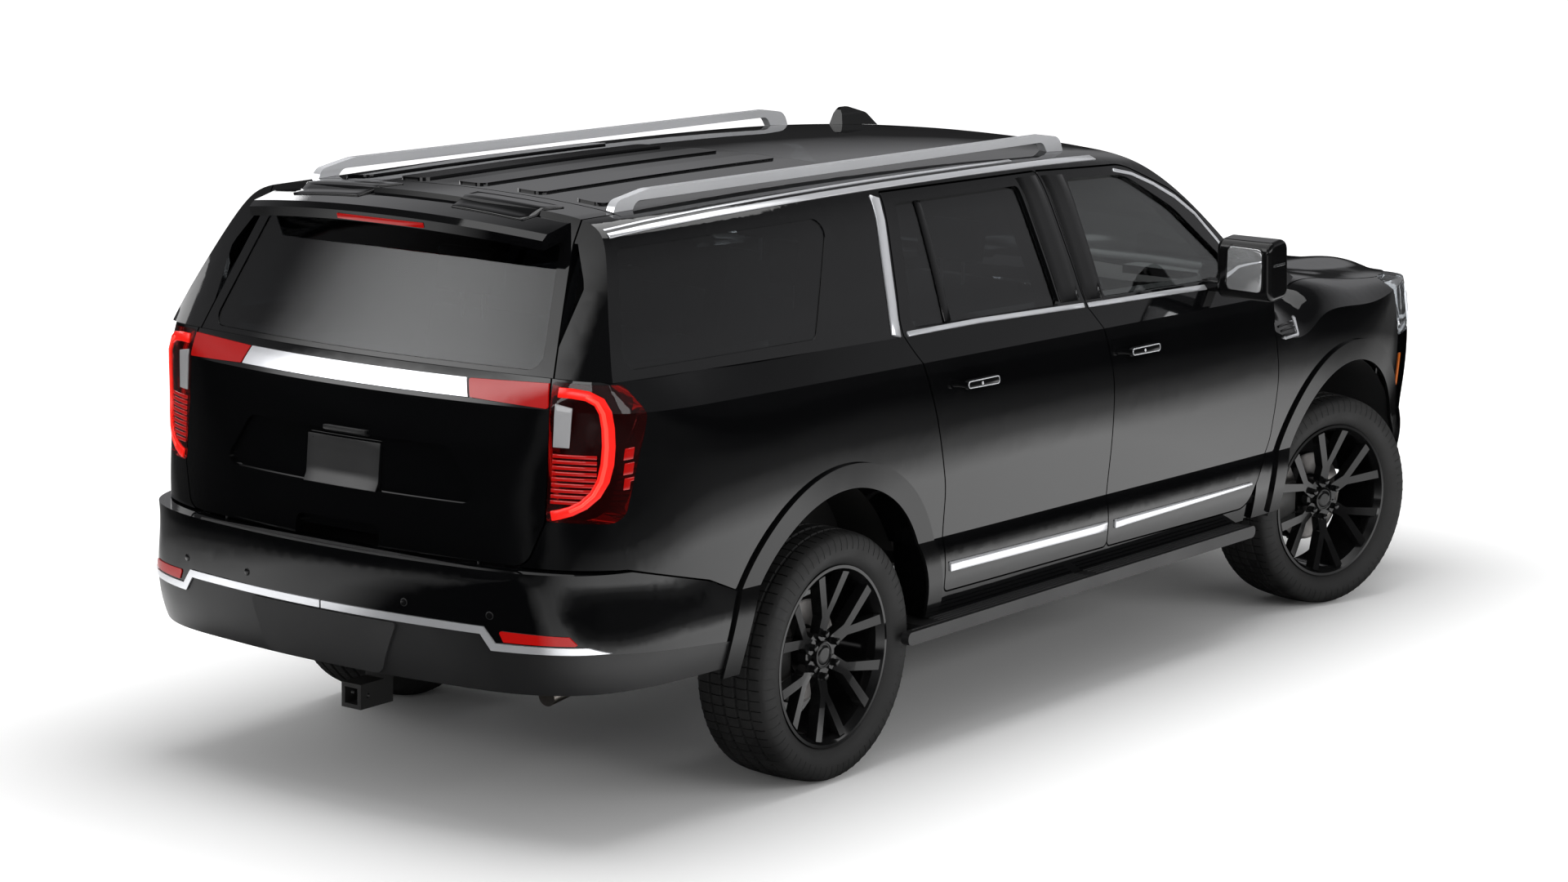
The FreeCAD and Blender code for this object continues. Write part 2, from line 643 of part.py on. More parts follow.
headlamp_outline = side_loop([
    (-2266, 1222, 15), (-2334, 1003, 15), (-2600, 1003, 0), (-2900, 1003, 0), (-2900, 1226, 0)])
lamp_front = rear_loop([(630.3, 1010, 20), (1100, 1010, 0), (1100, 1222, 0), (630.3, 1200, 20)])
headlamp = lower.common(across(headlamp_outline, 300, 1300)).common(hood_form(2))
headlamp = headlamp.common(along(lamp_front, -3000, -2000))
headlamp = headlamp.cut(deep_form)
headlamp = headlamp.cut(hood_gap)
headlamp = sorted(headlamp.Solids, key=lambda solid: -solid.Volume)[0]
keep("headlamps", both(headlamp))

grille_opening = rear_loop([(-600, 700, 60), (600, 700, 60), (612, 1168, 40), (-612, 1168, 40)])
intake_opening = rear_loop([(-560, 470, 40), (560, 470, 40), (600, 630, 40), (-600, 630, 40)])
bumper = front_shell.common(block(-1200, 1200, -3000, -2340, 395, 1500))
for side in (-1, 1):
    bumper = bumper.cut(block(min(side * 630, side * 1300), max(side * 630, side * 1300),
                              -3000, -2200, 1002.5, 1300))
bumper = bumper.cut(wheel_round(front_axle, size("arch_radius") + 20, -1300, 1300))
bumper = bumper.cut(hood_gap).cut(along(grille_opening, -3000, -2400)).cut(along(intake_opening, -3000,
    -2400))
bumper_parts = sorted(bumper.Solids, key=lambda solid: -solid.Volume)
keep("front_bumper", bumper_parts[0])


def front_arc(middle, end, deep, low, high, lean):
    """A band bent like the front face in plan, which leans back as it rises."""
    half = 620
    outer = Part.Arc(Vector(-half, end, low), Vector(0, middle, low), Vector(half, end, low)).toShape()
    inner = Part.Arc(Vector(half, end + deep, low), Vector(0, middle + deep, low),
                     Vector(-half, end + deep, low)).toShape()
    right = Part.makeLine(Vector(half, end, low), Vector(half, end + deep, low))
    left = Part.makeLine(Vector(-half, end + deep, low), Vector(-half, end, low))
    return Part.Face(Part.Wire([outer, right, inner, left])).extrude(Vector(0, lean, high - low))


def grille():
    """A framed grille of level bars, bent like the front face."""
    face_y = size("front_face") + 4
    outer = front_arc(face_y, face_y + 92, 66, 690, 1180, 46)
    inner = front_arc(face_y + 14, face_y + 106, 34, 690, 1180, 46)
    hollow = shrink(grille_opening, 42)
    rim = outer.common(along(shrink(grille_opening, 0.3), -3000, -2500)).cut(along(hollow, -3000, -2500))
    bars = []
    for index in range(5):
        level = 778 + index * 76
        bars.append(inner.common(block(-570, 570, -3000, -2500, level, level + 26)))
    return rim.fuse(bars).removeSplitter()


keep("cowl", cowl)
grille_shape = grille()
keep("grille", grille_shape.cut(hood_gap))

# Rear bumper

rear_bumper_form = Part.makeLoft([
    body_ring(380, 968, size("bumper_face") - 60, -2800, 0, line_tilt, 0, 0),
    body_ring(470, 990, size("bumper_face") - 12, -2800, 0, line_tilt, 0, 0),
    body_ring(600, 1009, size("bumper_face"), -2800, 0, line_tilt, 0, 0),
    body_ring(700, 1001, size("bumper_face") + 2, -2800, 0, line_tilt, 0, 0),
    body_ring(840, 1015, size("bumper_face") - 6, -2800, 0, line_tilt, 0, 0)], True, False)
rear_bumper_outline = side_loop([
    (2000, 432, 0), (2300, 415, 300), (2700, 385, 300), (3000, 380, 0), (3000, 853, 0), (2560, 853,
        60), (2226, 774, 60), (2030, 700, 0)])
bumper_blank = rear_bumper_form.common(across(rear_bumper_outline, -1300, 1300))
inner_bumper = Part.makeLoft([
    body_ring(300, 940, size("bumper_face") - 130, -2800, 0, line_tilt, 0, 0),
    body_ring(920, 950, size("bumper_face") - 110, -2800, 0, line_tilt, 0, 0)], True, False)
rear_bumper = bumper_blank.cut(inner_bumper)
rear_bumper = rear_bumper.cut(wheel_round(rear_axle, size("arch_radius") + 20, -1300, 1300))
rear_bumper = sorted(rear_bumper.Solids, key=lambda solid: -solid.Volume)[0]
tall = size("strip_tall")
valance_zone = across(side_loop([
    (1900, 300, 0), (1900, 552, 0), (2670, 612, 0), (3000, 612, 0), (3000, 300, 0)]), -1300, 1300)
valance_zone = valance_zone.fuse(along(rear_loop([
    (-630, 400, 0), (630, 400, 0), (630, 612, 0), (592, 659, 0), (-592, 659, 0), (-630, 612,
        0)]), 2640, 3000))
stops = [Part.makeCylinder(8, 20, Vector(x, 2752, 861.7 - 20)) for x in (-520, 520)]
keep("rear_bumper", rear_bumper.cut(valance_zone).fuse(stops))
keep("rear_valance", rear_bumper.common(valance_zone.translated(Vector(0, 0, -0.3))))


def on_bumper(outline, inner, outer):
    """A layer on the bumper's face, which also stands off its corners."""
    prism = along(outline, 2300, 3000)
    step = Vector(0.6, 0.8, 0)
    return bumper_blank.common(prism).translated(step * outer).cut(bumper_blank.translated(step * inner))


strip_side = rear_loop([
    (0, 683, 0), (602, 683, 0), (641, 612 + tall, 0), (892, 612 + tall, 0), (930, 614, 0), (628, 612, 0),
    (592, 683 - tall, 0), (0, 683 - tall, 0)])
strip = on_bumper(strip_side, 0.5, 6)
strip = strip.cut(block(-50, 0.15, 2300, 3000, 600, 700))
keep("bumper_strips", both(sorted(strip.Solids, key=lambda solid: -solid.Volume)[0]))
reflector = rear_loop([(668, 641, 4), (872, 640, 4), (850, 668, 6), (652, 674, 6)])
keep("bumper_lamps", both(sorted(on_bumper(reflector, 0.5, 4).Solids, key=lambda solid: -solid.Volume)[0]))
cover_outline = rear_loop([(-300, 655, 10), (300, 655, 10), (262, 560, 60), (236, 486, 40), (-236, 486,
    40), (-262, 560, 60)])
cover_form = bumper_blank.common(along(cover_outline, 2300, 3000))
cover = cover_form.translated(Vector(0, 8, 0)).cut(cover_form.translated(Vector(0, 0.4, 0)))
keep("hitch_cover", sorted(cover.Solids, key=lambda solid: -solid.Volume)[0])
pad = rear_bumper.common(block(-625, 625, 2838, 2900, 846, 860)).translated(Vector(0, 0, 7.3))
keep("step_pad", sorted(pad.Solids, key=lambda solid: -solid.Volume)[0])

# Tail lamps

tail = lower.common(along(lamp_outline, 2400, 3000)).common(across(lamp_side, 500, 1300))
tail = tail.cut(inner_form)
tail = sorted(tail.Solids, key=lambda solid: -solid.Volume)[0]
keep("tail_lamps", both(tail))

# Chassis: frame, floor, engine, axles and the underside

rail_half = size("rail_half")
rail_wide = size("rail_wide")
floor_level = size("floor_level")
floor_top = floor_level + size("floor_thick")
cargo_level = size("cargo_level")
cargo_top = cargo_level + size("floor_thick")
rail_tall = size("rail_tall")


def rail():
    """One side rail of the frame, which rises over the front and rear axles."""
    top = [(-2640, 640), (-2150, 690), (-1560, 690), (-1330, floor_level - 0.3), (1100, floor_level - 0.3),
           (1300, cargo_level - 0.3), (1900, cargo_level - 0.3), (2280, 660), (2690, 660)]
    bottom = [(y, z - rail_tall) for y, z in reversed(top)]
    outline = side_loop([(y, z, 60) for y, z in top + bottom])
    return across(outline, rail_half - rail_wide, rail_half)


def frame():
    left = rail()
    pieces = [left, mirrored(left)]
    inner = rail_half - rail_wide
    for y, low, deep, tall in [(-2600, 560, 90, 70), (-1200, 545, 90, 60), (-500, 545, 80, 60), (700, 545,
        80, 60),
                               (1900, 630, 80, 60), (2600, 540, 90, 90)]:
        pieces.append(block(-inner, inner, y, y + deep, low, low + tall))
    receiver = block(-40, 40, 2600, 2750, 315, 395).cut(block(-26, 26, 2640, 2900, 329, 381))
    pieces.append(receiver.cut(Part.makeCylinder(8, 100, Vector(-50, 2715, 355), Vector(1, 0, 0))))
    pieces.append(block(-40, 40, 2600, 2640, 390, 545))
    for side in (-1, 1):
        middle = side * (rail_half - rail_wide / 2)
        front_horn = block(middle - 30, middle + 30, -2900, -2560, 570, 630)
        rear_horn = block(middle - 30, middle + 30, 2600, 2900, 570, 630)
        pieces.append(front_horn.common(inner_form.translated(Vector(0, 0.3, 0))))
        pieces.append(rear_horn.common(inner_bumper.translated(Vector(0, -0.3, 0))))
    return joined(pieces)


frame_shape = frame()
keep("frame", frame_shape)


def floor():
    """Floor pan, toe board, cargo floor and the round houses over the rear wheels."""
    half = size("cabin_half") - 0.3
    pan = block(-half, half, -1270, 1010, floor_level, floor_top)
    riser = block(-half, half, 1010, 1040, floor_level, cargo_top)
    cargo = upward(plan_loop([
        (-half, 1040), (half, 1040), (half, 2320), (half - 20, 2450), (735, 2560), (690, 2640), (-690,
            2640),
        (-735, 2560), (20 - half, 2450), (-half, 2320)]), cargo_level, cargo_top)
    wall = block(-half, half, -1300, -1270, floor_level, 1190)
    outside = Part.makeCylinder(560, 2 * half, Vector(-half, rear_axle, arch_level), Vector(1, 0, 0))
    inside = Part.makeCylinder(536, 2 * half, Vector(-half, rear_axle, arch_level), Vector(1, 0, 0))
    outside = outside.cut(block(-640, 640, 0, 3000, 0, 2000)).cut(block(-1200, 1200, 0, 3000, 0,
        floor_level))
    hollow = inside.cut(block(-664, 664, 0, 3000, 0, 2000))
    pan = pan.fuse([riser, cargo, wall, outside]).cut(hollow)
    for side in (-1, 1):
        pan = pan.cut(block(min(side * 664, side * 1200), max(side * 664, side * 1200),
                            rear_axle - 536, rear_axle + 536, 0, floor_top + 20))
    return sorted(pan.removeSplitter().Solids, key=lambda solid: -solid.Volume)[0]


keep("floor", floor())


def box_piece(name, wide, deep, tall, x, y, z):
    """A plain block whose three sides and place are read from the sheet."""
    piece = doc.addObject("Part::Box", name)
    piece.Label = name
    for side, text in (("Length", wide), ("Width", deep), ("Height", tall), (".Placement.Base.x", x),
                       (".Placement.Base.y", y), (".Placement.Base.z", z)):
        piece.setExpression(side, text)
    return piece


parts.append(box_piece("engine", "sizes.engine_wide", "sizes.engine_long", "sizes.engine_tall",
                       "-sizes.engine_wide / 2", "sizes.engine_rear - sizes.engine_long", "sizes.engine_low"))
case = box_piece("gearbox_case", "sizes.case_wide", "sizes.case_long", "sizes.case_tall",
                 "-sizes.case_wide / 2", "sizes.engine_rear + sizes.seat_fit", "sizes.case_low")
tail_case = box_piece("gearbox_tail", "sizes.tail_wide", "sizes.tail_long", "sizes.tail_tall",
                      "-sizes.tail_wide / 2", "sizes.engine_rear + sizes.case_long - 1", "sizes.tail_low")
shaft = doc.addObject("Part::Feature", "drive_shaft")
shaft.Shape = rod((0, -560, 490), (0, rear_axle - 150, axle_level), 38)
gearbox = doc.addObject("Part::MultiFuse", "gearbox")
gearbox.Label = "gearbox"
gearbox.Shapes = [case, tail_case, shaft]
parts.append(gearbox)

# Wheels: built at the origin with the axle along X and the outside towards +X

wheel_x = size("track_half")
kingpin = size("kingpin_half")
spindle_radius = size("stub_radius") - 4
steer = math.radians(size("steer_rest"))


def turned(profile):
    """A round solid about the X axis from points (x, radius)."""
    points = [Vector(x, 0, radius) for x, radius in profile]
    face = Part.Face(Part.makePolygon(points + [points[0]]))
    return face.revolve(Vector(0, 0, 0), Vector(1, 0, 0), 360)


def revolved_body(name, corners):
    """A round body about its own X axis; each corner is (x, radius), both written in sheet terms."""
    body = doc.addObject("PartDesign::Body", name)
    body.Label = name
    sketch = body.newObject("Sketcher::SketchObject", name + "_profile")
    plane = [item for item in body.Origin.OriginFeatures if item.Role == "XY_Plane"][0]
    axis = [item for item in body.Origin.OriginFeatures if item.Role == "X_Axis"][0]
    sketch.AttachmentSupport = [(plane, "")]
    sketch.MapMode = "FlatFace"
    count = len(corners)
    start = [Vector(200 * math.cos(2 * math.pi * n / count), 400 + 200 * math.sin(2 * math.pi * n / count),
                    0)
             for n in range(count)]
    for number in range(count):
        sketch.addGeometry(Part.LineSegment(start[number], start[(number + 1) % count]))
    for number in range(count):
        sketch.addConstraint(Sketcher.Constraint("Coincident", number, 2, (number + 1) % count, 1))
    for number, (x_text, radius_text) in enumerate(corners):
        across_it = sketch.addConstraint(Sketcher.Constraint("DistanceX", -1, 1, number, 1,
            start[number].x))
        sketch.setExpression("Constraints[%d]" % across_it, x_text)
        out_it = sketch.addConstraint(Sketcher.Constraint("DistanceY", -1, 1, number, 1, start[number].y))
        sketch.setExpression("Constraints[%d]" % out_it, radius_text)
    turn = body.newObject("PartDesign::Revolution", name + "_turned")
    turn.Profile = sketch
    turn.ReferenceAxis = (axis, [""])
    turn.Angle = 360
    return body


TYRE_HALF_SECTION = [
    ("sizes.bead_half", "sizes.rim_radius - 13"), ("sizes.bead_half", "sizes.rim_radius + 8"),
    ("sizes.tyre_width / 2", "sizes.rim_radius + 50"), ("sizes.tyre_width / 2 - 14",
                                                        "sizes.tyre_radius - 16")]
tyre_section = [("-(%s)" % x, radius) for x, radius in TYRE_HALF_SECTION]
tyre_section = tyre_section + [("0", "sizes.tyre_radius")] + TYRE_HALF_SECTION[::-1]


def rim():
    """Barrel, hub, brake disc and six forked spokes in one piece."""
    edge = size("rim_radius")
    barrel = turned([(-117, edge), (-103.3, edge), (-103.3, edge - 13.3), (103.3, edge - 13.3), (103.3,
        edge),
                     (117, edge), (117, edge - 10), (92, edge - 26), (-96, edge - 26)])
    hub = Part.makeCylinder(size("hub_radius"), 70, Vector(-8, 0, 0), Vector(1, 0, 0))
    disc = Part.makeCylinder(size("disc_radius"), 26, Vector(-34, 0, 0), Vector(1, 0, 0))
    bore = Part.makeCylinder(spindle_radius + 0.3, 86, Vector(-34, 0, 0), Vector(1, 0, 0))
    dish = turned([(36, 0), (36, 70), (48, 150), (74, edge - 20), (112, edge - 20), (92, 170), (72, 80),
                   (72, 0)])
    prongs = []
    for side in (-1, 1):
        prongs.append(loop([
            ((0, 0, 40), 0), ((0, side * 24, 60), 0), ((0, side * 21, 128), 18), ((0, side * 88,
                edge - 22), 0),
            ((0, side * 56, edge - 12), 0), ((0, side * 0.01, 150), 10)]))
    spoke = Part.Face(prongs[0]).extrude(Vector(150, 0, 0)).fuse(Part.Face(prongs[1]).extrude(Vector(150,
        0, 0)))
    spoke = spoke.common(dish)
    pieces = [hub, disc]
    for index in range(6):
        copy = spoke.copy()
        copy.rotate(Vector(0, 0, 0), Vector(1, 0, 0), index * 60)
        pieces.append(copy)
    cap = Part.makeCylinder(46, 14, Vector(60, 0, 0), Vector(1, 0, 0))
    pieces.append(cap)
    for index in range(6):
        angle = math.radians(30 + 60 * index)
        pieces.append(Part.makeCylinder(13, 14, Vector(60, 69.85 * math.cos(angle),
                                                       69.85 * math.sin(angle)),
                                        Vector(1, 0, 0)))
    return joined([barrel] + pieces).cut(bore)


rim_shape = rim()


def knuckle():
    """Upright on the kingpin, spindle, steering arm and brake caliper; spindle towards +X."""
    offset = wheel_x - kingpin
    upright = Part.makeCylinder(30, 290, Vector(-offset, 0, -140), Vector(0, 0, 1))
    carrier = Part.makeCylinder(60, 74, Vector(-offset - 40, 0, 0), Vector(1, 0, 0))
    spindle = Part.makeCylinder(spindle_radius, 88, Vector(-40, 0, 0), Vector(1, 0, 0))
    arm = block(-offset - 20, -offset + 20, 0, 160, -70, -40)
    return joined([upright, carrier, spindle, arm, caliper(offset)])


def caliper(offset):
    """Brake caliper astride the disc, carried by an arm from the upright."""
    shell = block(-64, 16, 96, 186, -70, 70)
    slot = Part.makeCylinder(size("disc_radius") + 5, 36, Vector(-39, 0, 0), Vector(1, 0, 0))
    bracket = block(-offset - 30, -42, 20, 120, -30, 30)
    return shell.fuse(bracket).cut(slot)


knuckle_shape = knuckle()


def placed(shape, side, axle, steered):
    """A wheel part moved from the origin to its corner of the vehicle."""
    copy = shape.copy() if side > 0 else mirrored(shape)
    if steered:
        copy.translate(Vector(side * (wheel_x - kingpin), 0, 0))
        copy.rotate(Vector(0, 0, 0), Vector(0, 0, 1), math.degrees(steer))
        copy.translate(Vector(side * kingpin, axle, axle_level))
    else:
        copy.translate(Vector(side * wheel_x, axle, axle_level))
    return copy


def corner_place(side, axle, steered):
    """Where a wheel's centre stands, and how it is turned."""
    if not steered:
        return FreeCAD.Placement(Vector(side * wheel_x, axle, axle_level), FreeCAD.Rotation())
    arm = wheel_x - kingpin
    centre = Vector(side * (kingpin + arm * math.cos(steer)), axle + side * arm * math.sin(steer),
                    axle_level)
    return FreeCAD.Placement(centre, FreeCAD.Rotation(Vector(0, 0, 1), math.degrees(steer)))


for name, side in (("left", 1), ("right", -1)):
    keep("knuckle_%s" % name, placed(knuckle_shape, side, front_axle, True))
    for place, axle, steered in (("front", front_axle, True), ("rear", rear_axle, False)):
        tyre = revolved_body("tyre_%s_%s" % (place, name), tyre_section)
        tyre.Placement = corner_place(side, axle, steered)
        parts.append(tyre)
        keep("rim_%s_%s" % (place, name), placed(rim_shape, side, axle, steered))


def front_suspension():
    """Upper and lower arms from the frame to the kingpin, and a spring strut each side."""
    pieces = []
    low = axle_level - 140
    high = axle_level + 150
    inner = rail_half - 30
    boss_low = Part.makeCylinder(32, 40, Vector(kingpin, front_axle, low - 40.5), Vector(0, 0, 1))
    boss_high = Part.makeCylinder(28, 34, Vector(kingpin, front_axle, high + 0.5), Vector(0, 0, 1))
    pieces.append(boss_low)
    pieces.append(boss_high)
    for y in (-190, 170):
        pieces.append(rod((kingpin, front_axle, low - 22), (inner, front_axle + y, low + 20), 18))
        pieces.append(rod((kingpin, front_axle, high + 18), (inner, front_axle + y * 0.7, high + 20), 14))
    pieces.append(rod((660, front_axle + 8, low - 8), (560, front_axle + 8, 820), 40))
    pieces.append(block(rail_half - 10, 600, front_axle - 60, front_axle + 76, 780, 850))
    pieces.append(block(rail_half + 0.3, rail_half + 30, front_axle - 60, front_axle + 76, 600, 850))
    left = joined(pieces)
    cradle = block(-inner, inner, front_axle - 230, front_axle + 210, low, low + 60)
    posts = [block(sign * inner - 40, sign * inner + 30, front_axle - 230, front_axle + 210, low, 545)
             for sign in (-1, 1)]
    return left, cradle, posts


left_arm, cradle, posts = front_suspension()
sub = joined([left_arm, mirrored(left_arm), cradle] + posts).cut(frame_shape)
sub_parts = sorted(sub.Solids, key=lambda solid: -solid.Volume)
keep("front_suspension", sub_parts[0])


def rear_suspension():
    """Live axle with its springs, trailing arms and brake calipers."""
    end = wheel_x + 44
    tube = size("axle_tube")
    half = [(end, spindle_radius), (wheel_x - 40, spindle_radius), (wheel_x - 40, tube), (150, tube), (95,
        118),
            (0, 132)]
    profile = half + [(-x, radius) for x, radius in reversed(half[:-1])]
    axle = turned([(end, 0)] + profile + [(-end, 0)])
    axle.translate(Vector(0, rear_axle, axle_level))
    pieces = [axle]
    for side in (-1, 1):
        grip = caliper(60) if side > 0 else mirrored(caliper(60))
        grip.translate(Vector(side * wheel_x, rear_axle, axle_level))
        pieces.append(grip)
        pieces.append(Part.makeCylinder(55, 197.2, Vector(side * 440, rear_axle, axle_level)))
        pieces.append(rod((side * 560, rear_axle, axle_level - 10), (side * 560, 820, 480), 22))
        pieces.append(block(side * 560 - 40, side * 560 + 40, 780, 860, 440, 609.7))
    return joined(pieces)


rear_axle_shape = rear_suspension()
keep("rear_suspension", rear_axle_shape)


def underbody():
    """Silencer with its pipes, under the floor on the right."""
    silencer = block(-370, -60, 150, 640, 430, 609.7)
    route = [(-240, -1450, 485), (-240, 170, 485), (-240, 620, 485), (-330, 1000, 510), (-330, 1740, 520),
             (-640, 2100, 480), (-660, 2600, 430)]
    return joined([silencer, pipe(route[:2], 30), pipe(route[2:], 30)])


keep("exhaust", underbody())
parts.append(box_piece("fuel_tank", "sizes.tank_wide", "sizes.tank_long",
                       "sizes.floor_level - sizes.seat_fit - sizes.tank_low",
                       "sizes.tank_side", "-350", "sizes.tank_low"))

spare = revolved_body("spare_wheel", [
    ("sizes.spare_low", "0"), ("sizes.spare_low", "240"), ("sizes.spare_low - 60", "240"),
    ("sizes.spare_low - 60", "sizes.spare_radius - 30"), ("sizes.spare_low - 30", "sizes.spare_radius"),
    ("sizes.spare_low + 100", "sizes.spare_radius"), ("sizes.spare_low + 130", "sizes.spare_radius - 30"),
    ("sizes.spare_low + 130", "25"), ("sizes.cargo_level - sizes.seat_fit", "25"),
    ("sizes.cargo_level - sizes.seat_fit", "0")])
spare.Placement = FreeCAD.Placement(Vector(0, 2230, 0), FreeCAD.Rotation(Vector(0, 1, 0), -90))
parts.append(spare)


def running_board():
    board = across(side_loop([
        (-1060, size("board_level") - 20, 40), (1236, size("board_level") - 20, 40),
        (1236, size("board_level") + 24, 20), (-1060, size("board_level") + 24,
                                               20)]), 900, size("board_out"))
    pieces = [board]
    for y in (-800, 0, 820):
        pieces.append(block(rail_half + 0.3, 940, y, y + 60, 398, 425))
        pieces.append(block(rail_half + 0.3, rail_half + 20, y, y + 60, 398, 560))
    wheel_room = Part.makeCylinder(440, 140, Vector(890, rear_axle, axle_level), Vector(1, 0, 0))
    return joined(pieces).cut(wheel_room)


keep("running_boards", both(running_board()))

# Cabin: seats, dashboard, and what is fixed to the outside

def seat(wide, x, y, base, tall, back_tall):
    """One seat: pedestal, cushion, backrest and headrest, facing the front."""
    high = base + tall
    low_x = x - wide / 2
    high_x = x + wide / 2
    cushion = across(side_loop([(y - 260, high - 100, 30), (y - 260, high + 30, 45), (y + 60, high + 22,
        300),
                                (y + 260, high + 36, 40), (y + 250, high - 105, 30)]), low_x, high_x)
    cushion = cushion.common(upward(plan_loop([
        (low_x, y - 270, 70), (high_x, y - 270, 70), (high_x, y + 270, 40), (low_x, y + 270, 40)]),
        base, high + 100))
    top = high + 20 + back_tall
    back = across(side_loop([(y + 160, high + 20, 30), (y + 290, high + 10, 40), (y + 400, top - 20, 40),
                             (y + 310, top, 40), (y + 236, high + 230, 400)]), low_x, high_x)
    back = back.common(along(rear_loop([
        (low_x + 10, high - 20, 30), (high_x - 10, high - 20, 30), (high_x, high + 150, 60),
        (high_x - 40, top + 10, 90), (low_x + 40, top + 10, 90), (low_x, high + 150, 60)]), y, y + 500))
    rest = across(side_loop([(y + 330, top + 25, 30), (y + 420, top + 15, 30), (y + 430, top + 175, 30),
                             (y + 350, top + 185, 40)]), x - 130, x + 130)
    stem = block(x - 50, x + 50, y + 362, y + 380, top - 60, top + 60)
    plinth = block(low_x + 60, high_x - 60, y - 200, y + 200, base + 0.3, high - 90)
    return joined([cushion, back, rest, stem, plinth])


front_seats = [seat(size("seat_wide"), side * 400, -330, floor_top, size("seat_height"),
                    size("back_tall")) for side in (-1, 1)]
middle_seats = [seat(size("seat_wide"), side * 400, 560, floor_top, size("seat_height"),
                     size("back_tall")) for side in (-1, 1)]
rear_seats = [seat(size("seat_wide") - 20, side * 280, 1480, cargo_top, 220, 440) for side in (-1, 1)]
keep("seats_front", Part.Compound([s for seat_shape in front_seats for s in seat_shape.Solids]))
keep("seats_middle", Part.Compound([s for seat_shape in middle_seats for s in seat_shape.Solids]))
keep("seats_rear", Part.Compound([s for seat_shape in rear_seats for s in seat_shape.Solids]))


def dashboard():
    section = side_loop([
        (-1269.7, 760, 0), (-1060, 780, 60), (-880, 900, 60), (-860, 1060, 50), (-960, 1170, 80), (-1269.7,
            1190, 0)])
    panel = across(section, -790, 790)
    console = block(-130, 130, -1000, -250, floor_top + 0.3, 930)
    column = rod((400, -1000, 1000), (400, -748, 1084), 30)
    section = [(6, 172), (-6, 172), (-13, 185), (-6, 198), (6, 198), (13, 185)]
    wheel = turned(section)
    wheel.rotate(Vector(0, 0, 0), Vector(0, 0, 1), 90)
    wheel.rotate(Vector(0, 0, 0), Vector(1, 0, 0), 18)
    wheel.translate(Vector(400, -750, 1085))
    spoke = block(215, 585, -760, -740, 1070, 1100)
    spoke.rotate(Vector(400, -750, 1085), Vector(1, 0, 0), 18)
    return joined([panel, console, column, wheel, spoke])


keep("dashboard", dashboard())


def arch_moulding(axle):
    """A flat band round a wheel opening, a little proud of the body."""
    band = wheel_round(axle, size("lip_radius"), 600, 1300).cut(wheel_round(axle, size("arch_radius"), 500,
        1400))
    band = band.cut(block(0, 1400, -3000, 3000, 0, 450))
    outer = lower.translated(Vector(size("lip_proud"), 0, 0)).common(band)
    outer = outer.cut(lower.translated(Vector(size("seat_fit"), 0, 0)))
    return outer.cut(bumper_blank.translated(Vector(size("seat_fit"), 0, 0)))


arches = []
for axle in (front_axle, rear_axle):
    moulding = arch_moulding(axle)
    arches += sorted(moulding.Solids, key=lambda solid: -solid.Volume)[:1]
keep("arch_mouldings", Part.Compound(arches + [mirrored(a) for a in arches]))


def mirror_housing():
    """Housing on an arm from the door's front corner."""
    outline = [(-870, 1340), (-730, 1330), (-715, 1545), (-850, 1560)]
    shell = across(side_loop([(y, z, 40) for y, z in outline]), 1040, 1262)
    shell = shell.makeFillet(18, [edge for edge in shell.Edges if abs(edge.BoundBox.XLength) < 1])
    arm = across(side_loop([(-860, 1345, 10), (-780, 1345, 10), (-780, 1385, 10), (-860, 1385, 10)]), 880,
                 1060)
    body = shell.fuse(arm)
    for form in (lower, upper):
        body = body.cut(form.translated(Vector(0.3, 0, 0)))
    body = sorted(body.Solids, key=lambda solid: -solid.Volume)[0]
    return body


mirror_shape = mirror_housing()
keep("mirror_left", mirror_shape)
keep("mirror_right", mirrored(mirror_shape))


fin_place = -470


def roof_rail():
    bar = side_loop([
        (-330, 1850, 0), (-300, 1916, 60), (-180, size("rail_top"), 200), (2080, size("rail_top"), 200),
        (2240, 1906, 60), (2256, 1850, 0), (2170, 1850, 0), (2140, 1900, 40), (-190, 1904, 40), (-230,
            1850, 0)])
    shape = across(bar, 592, 622)
    return sorted(shape.cut(upper.translated(Vector(0, 0, 0.3))).Solids, key=lambda solid: -solid.Volume)[0]


def antenna():
    """A low fin on the roof, above the front seats."""
    low = size("fin_top") - 78
    top = size("fin_top")
    fin = across(side_loop([(-120, low, 0), (-60, low + 50, 60), (40, top, 40), (90, top, 20), (110, low,
        0)]), -35, 35)
    waist = along(rear_loop([(-33, low, 0), (33, low, 0), (20, low + 53, 30), (5, top, 3), (-5, top, 3),
                             (-20, low + 53, 30)]), -200, 200)
    return fin.common(waist).translated(Vector(400, fin_place, 0)).cut(upper.translated(Vector(0, 0, 0.3)))


keep("antenna", antenna())
rail_shape = roof_rail()
keep("roof_rails", both(rail_shape))


# Check every object before anything is written

doc.recompute()
for item in doc.Objects:
    if "Invalid" in item.State or "Error" in item.State:
        raise RuntimeError("%s did not build" % item.Label)
for item in parts:
    shape = item.Shape
    if shape.isNull() or not shape.isValid():
        raise RuntimeError("%s is not a valid solid" % item.Label)
for item in parts:
    item.Shape.exportStep("parts/%s.step" % item.Label)
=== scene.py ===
# %% [markdown]
# # A long utility vehicle, dressed for its picture
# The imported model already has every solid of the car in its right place. This notebook adds
# what a solid model can't have: paint, glass, leather, bright trim, tread on the tyres and the
# small things between them. Everything is in metres, the nose points to -Y and the wheels
# stand on Z = 0.

import json
import math

import bpy
from mathutils import Matrix, Vector


